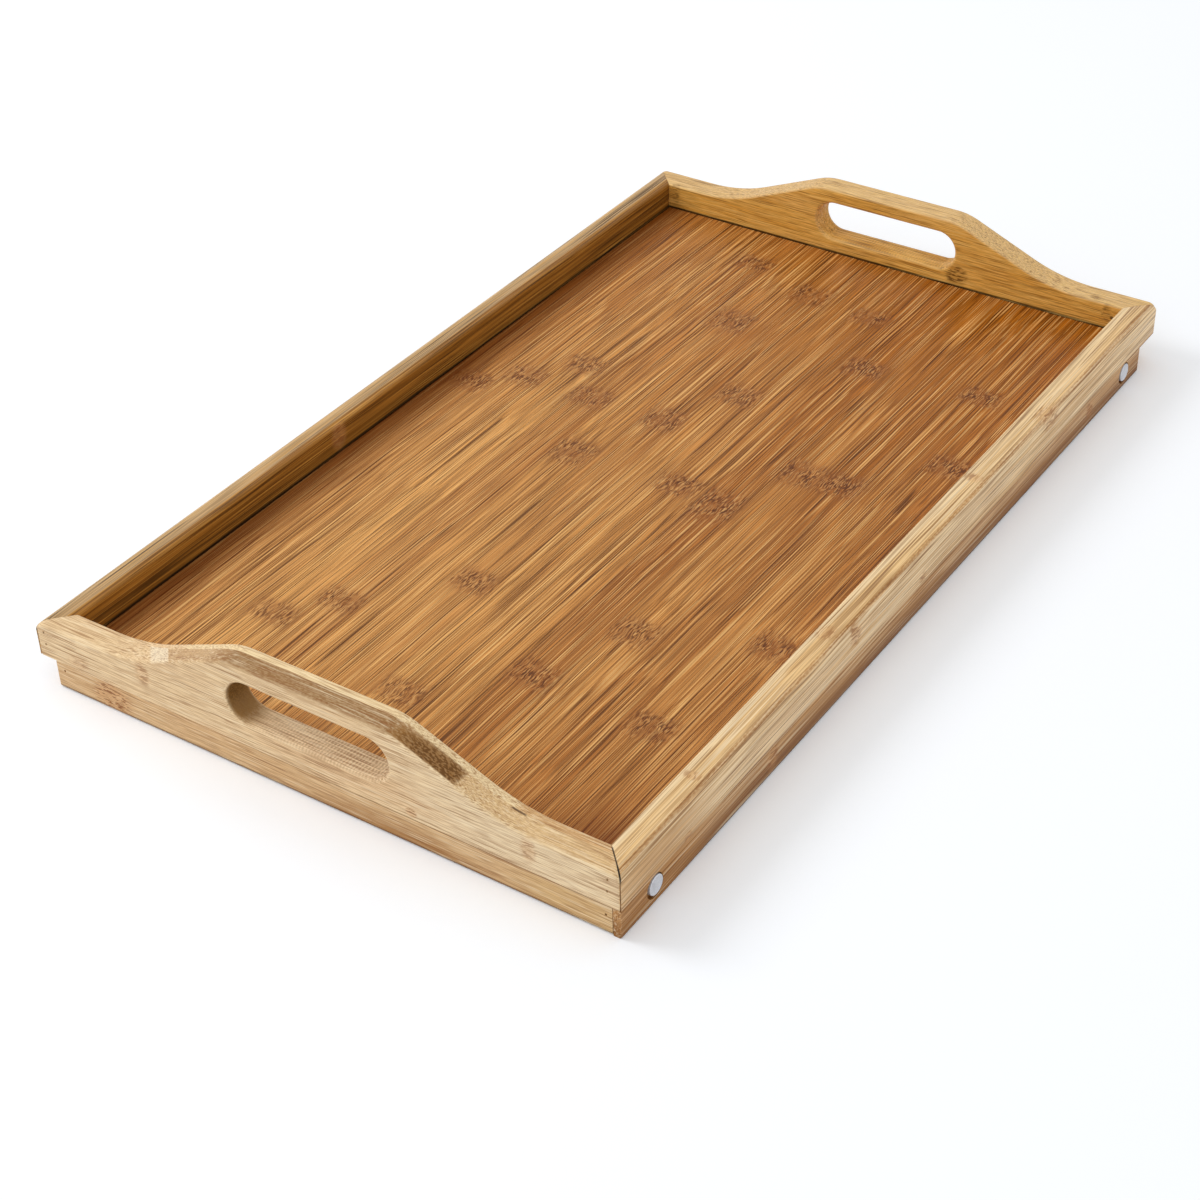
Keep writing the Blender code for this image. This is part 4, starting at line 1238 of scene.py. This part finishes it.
# knots are (centre, size, strength), in mm
nearLook = dict(
    endLook,
    knots=(
        ((-250, 88, 28.5), (3, 4.5, 7), 0.5), ((-250, 126, 18.5), (3, 6.5, 4), 0.4),
        ((-250, 108.5, 7), (3, 12, 9), 0.9), ((-250, -51, 17.5), (3, 3, 2.5), 0.8),
        ((-250, -107, 25), (3, 4, 7), 0.55),
    ),
    areas=(
        area((204, 152, 88), 0.4, (lowerStrip,)),
        area((164, 108, 44), 0.72, (lowerStrip,), ((-250, -42, -3), (20, 62, 16), 0.35, 1.1)),
        # painted light: the right part of the outer face is made paler
        area((252, 234, 198), 0.4, (("Y", -150, -60, 40), ("X", -252, -249, 0.6), ("Z", 14, 60, 1))),
        area((220, 182, 118), 0.45, (("Y", -150, -105, 15), ("Z", 0, 13.7, 0.4))),
        area((112, 70, 34), 0.5, (("Z", 13.8, 14.2, 0.12),), ((-250, -110, 14), (20, 150, 6), 0.5, 1.15)),
        area((230, 184, 134), 0.4, (), ((-250, -20, 24), (4, 60, 10), 0.3, 1.2)),
        # top: pale inner layer, browner outer one, pale patch
        area((136, 94, 40), 0.88, (outerLayer, ("Y", -45, 50, 4)), mark="edge", speckle=0.2),
        area((190, 152, 104), 0.75, (outerLayer, ("Y", 42, 90, 2), (patchSide, 180, 225.2, 0.3)),
             mark="edge", speckle=0.2),
        area((248, 232, 200), 0.85, (("X", -252, -239.6, 0.2), (patchSide, 225.2, 232.8, 0.4)),
             mark="edge", speckle=0.2),
        area((228, 196, 148), 0.6, (("X", -252, -233, 0.2), (patchSide, 232.8, 400, 1.5)),
             mark="edge", speckle=0.4),
        area((222, 186, 130), 0.75, (("X", -252, -240.6, 0.2), ("Y", -150, -73, 2)),
             mark="edge", speckle=0.5),
        area((246, 220, 170), 0.75, (innerLayer, ("Y", -96, 71, 2)), mark="edge"),
        area((204, 156, 96), 0.75, (innerLayer, ("Y", -150, -96, 3)), mark="edge", speckle=0.3),
        area((250, 228, 190), 0.5, (("Z", 20, 32, 2), ("Y", -52, 24, 10)), mark="slot"),
        # painted contact shadow along the foot of the outer face
        area((90, 58, 30), 0.8, (("Z", -5, 1.6, 0.5), ("X", -252, -248.9, 0.4))),
    ),
    # dark hollow of the slope, painted shade in the slot's end, chip out of the top, and the crack
    marks=(
        area((158, 108, 42), 0.92, slopeTop, ((-249, -62, 46), (11, 34, 60), 0.6, 1.05), speckle=0.15),
        area((92, 54, 8), 0.85, slopeTop, ((-246, -66, 44), (8, 28, 60), 0.4, 1.1), speckle=0.6),
        # painted shade on the slot's end wall
        area((146, 106, 52), 0.95, (slotWall,), ((-243, 43, 38), (18, 19, 21), 0.6, 1.12), "slot"),
        area((82, 54, 14), 0.75, (slotWall,), ((-243, 43, 41), (17, 15, 16), 0.2, 1.1), "slot", 0.5),
        area((70, 42, 18), 0.8, (("X", -241.6, -240.7, 0.2), ("Y", -100.5, -94, 0.8)), mark="edge"),
    ) + mitreCrack,
)
# darker, more orange copy of the end board bamboo: painted shade and panel bounce on the far board's inner
# face; its top edge and outer face get pale tones back
shadedFarLook = dict(
    endLook, light=(242, 190, 98), middle=(224, 164, 70), line=(116, 70, 18), thread=(248, 206, 122),
    knot=(88, 54, 12), knotTint=(150, 102, 40),
    knots=(
        ((236, -43, 24), (4, 7, 7), 0.8), ((236, 131, 28), (4, 3, 8), 0.5),
        ((236, -128, 26), (4, 3, 6), 0.5),
        ((237, 96, 35.5), (4, 3, 2.5), 0.6), ((240, -120, 33), (4, 4, 2.5), 0.6),
    ),
    areas=(
        area((236, 200, 144), 0.85, (("Y", -152, 152, 1),), mark="edge", speckle=0.2),
        area((232, 196, 140), 0.8, (("X", 248, 252, 1),)),
        # painted shade in the crease where the panel meets the inner face
        area((20, 10, 2), 0.95, (("X", 234, 236.4, 0.1), ("Z", 14, 18.6, 0.35))),
        area((60, 34, 12), 0.9, (), ((236, -131, 24.5), (2, 1.2, 1.2), 0.5, 1.15)),
        # painted contact shadow along the foot of the outer face
        area((90, 58, 30), 0.8, (("Z", -5, 1.6, 0.5), ("X", 248.9, 252, 0.4))),
    ),
)
railLook = dict(
    endLook, fibreAxis="X", linePitch=0.8 * mm, lineLength=120.0, light=(252, 222, 176),
    middle=(236, 196, 142), line=(120, 70, 26), fineShare=0.4, lineShare=0.66,
    areas=(
        area((186, 128, 66), 0.7, (("Z", -5, 15.5, 2),)),
        # painted shade, darker towards the floor
        area((130, 80, 32), 0.75, (("Z", -5, 8, 4),)),
    ),
)
frontLook = dict(
    railLook,
    areas=railLook["areas"] + (
        # painted contact shadow along the foot of the outer face
        area((50, 30, 14), 0.9, (("Z", -5, 1.8, 0.8), ("Y", -152, -147.9, 0.4))),
        area((186, 128, 60), 0.55, (("X", -252, -200, 20), ("Z", -5, 29, 1))),
        area((248, 218, 168), 0.75, (("Y", -139.4, -135, 0.4), ("Z", 29, 34, 1))),
        area((236, 192, 122), 0.5, (("Y", -146.5, -139.4, 1.2), ("Z", 28, 34, 1))),
        area((176, 112, 44), 0.6, (("Y", -147.4, -145.4, 0.5), ("Z", 28, 34, 1)), speckle=0.6),
    ),
    marks=mitreCrack,
    knots=(
        ((-138, -149, 9), (5, 3, 7), 0.7), ((-203, -149, 16), (3, 3, 2.5), 0.6),
        ((-187, -141, 31), (3, 5, 3), 0.5), ((-80, -141, 31), (6, 5, 3), 0.5),
        ((-69, -149, 27), (5, 3, 8), 0.7), ((-7, -149, 18), (3.5, 3, 3), 0.6),
        ((57, -141, 31), (4, 5, 3), 0.6), ((125, -145, 28), (12, 6, 6), 0.6),
        ((172, -149, 10), (5, 3, 6), 0.6),
    ),
)
# darker, more orange copy of the rail bamboo: painted shade and panel bounce on the back rail's inner face;
# its top and outer face get the rail's own tones back
shadedBackLook = dict(
    railLook, light=(180, 122, 46), middle=(140, 90, 24), line=(46, 24, 4), thread=(212, 156, 72),
    blush=(124, 76, 24), fineShare=0.35, lineShare=0.7, threadShare=0.5,
    areas=(
        area((208, 172, 124), 0.85, (("Z", 31.3, 34, 0.15), ("Y", 139.5, 150, 0.8))),
        area((214, 178, 128), 0.85, (("Y", 144, 150, 0.8),)),
        area((190, 132, 70), 0.7, (("Z", -5, 15.5, 2), ("Y", 144, 150, 0.8))),
        # painted contact shadow along the foot of the outer face
        area((70, 44, 20), 0.8, (("Z", -5, 1.6, 0.5), ("Y", 147.9, 152, 0.4))),
        # painted shade in the crease where the panel meets the inner face
        area((24, 12, 4), 0.9, (("Y", 130, 136.2, 0.2), ("Z", 14, 18.6, 0.5))),
    ),
    knots=(((-60, 135.6, 26), (6, 3, 8), 0.7),),
)
nearEnd = bambooMaterial("nearEndBamboo", nearLook)
farEnd = bambooMaterial("farEndBamboo", shadedFarLook)
frontBamboo = bambooMaterial("frontRailBamboo", frontLook)
backBamboo = bambooMaterial("backRailBamboo", shadedBackLook)
legBamboo = bambooMaterial("legBamboo", dict(railLook, areas=()))
crossbarBamboo = bambooMaterial("crossbarBamboo", dict(railLook, areas=(), fibreAxis="Y"))
print("bamboo is mixed")

makeEndBoard("left", asDrawn, nearEnd)
makeEndBoard("right", halfTurn, farEnd)
makeRail("front", asDrawn, frontBamboo)
makeRail("back", halfTurn, backBamboo)
print("frame is built")

placePiece("floor_panel", panelMesh(), panelMaterial(), "tray")
print("floor panel is laid")

whiteMetal = metalMaterial("whiteMetal", {
    "light": (232, 234, 238), "dark": (196, 200, 210), "tarnish": (168, 170, 178), "tarnishShare": 0.35,
    "grain": 3200.0, "roughness": 0.38, "metallic": 0.45, "bump": 0.25,
})
zinc = metalMaterial("zincPlate", {
    "light": (206, 206, 204), "dark": (160, 162, 166), "tarnish": (150, 144, 128), "tarnishShare": 0.4,
    "grain": 2600.0, "roughness": 0.34, "metallic": 1.0, "bump": 0.15,
})
bradSteel = metalMaterial("bradSteel", {
    "light": (120, 112, 104), "dark": (70, 62, 56), "tarnish": (84, 60, 42), "tarnishShare": 0.6,
    "grain": 5000.0, "roughness": 0.55, "metallic": 0.8, "bump": 0.3,
})
for end in ("left", "right"):
    makeCrossbar(end, crossbarBamboo)
    for side in ("front", "back"):
        makeLeg(end, side, legBamboo)
        makeScrew(end, side, zinc)
        makeBolt(end, side, whiteMetal)
        makeWasher(end, side, zinc)
        makeNut(end, side, zinc)
        for level in bradLevels:
            makeBrad("_".join(("brad", end, side, level)), bradSteel)
print("legs and fasteners are fitted")
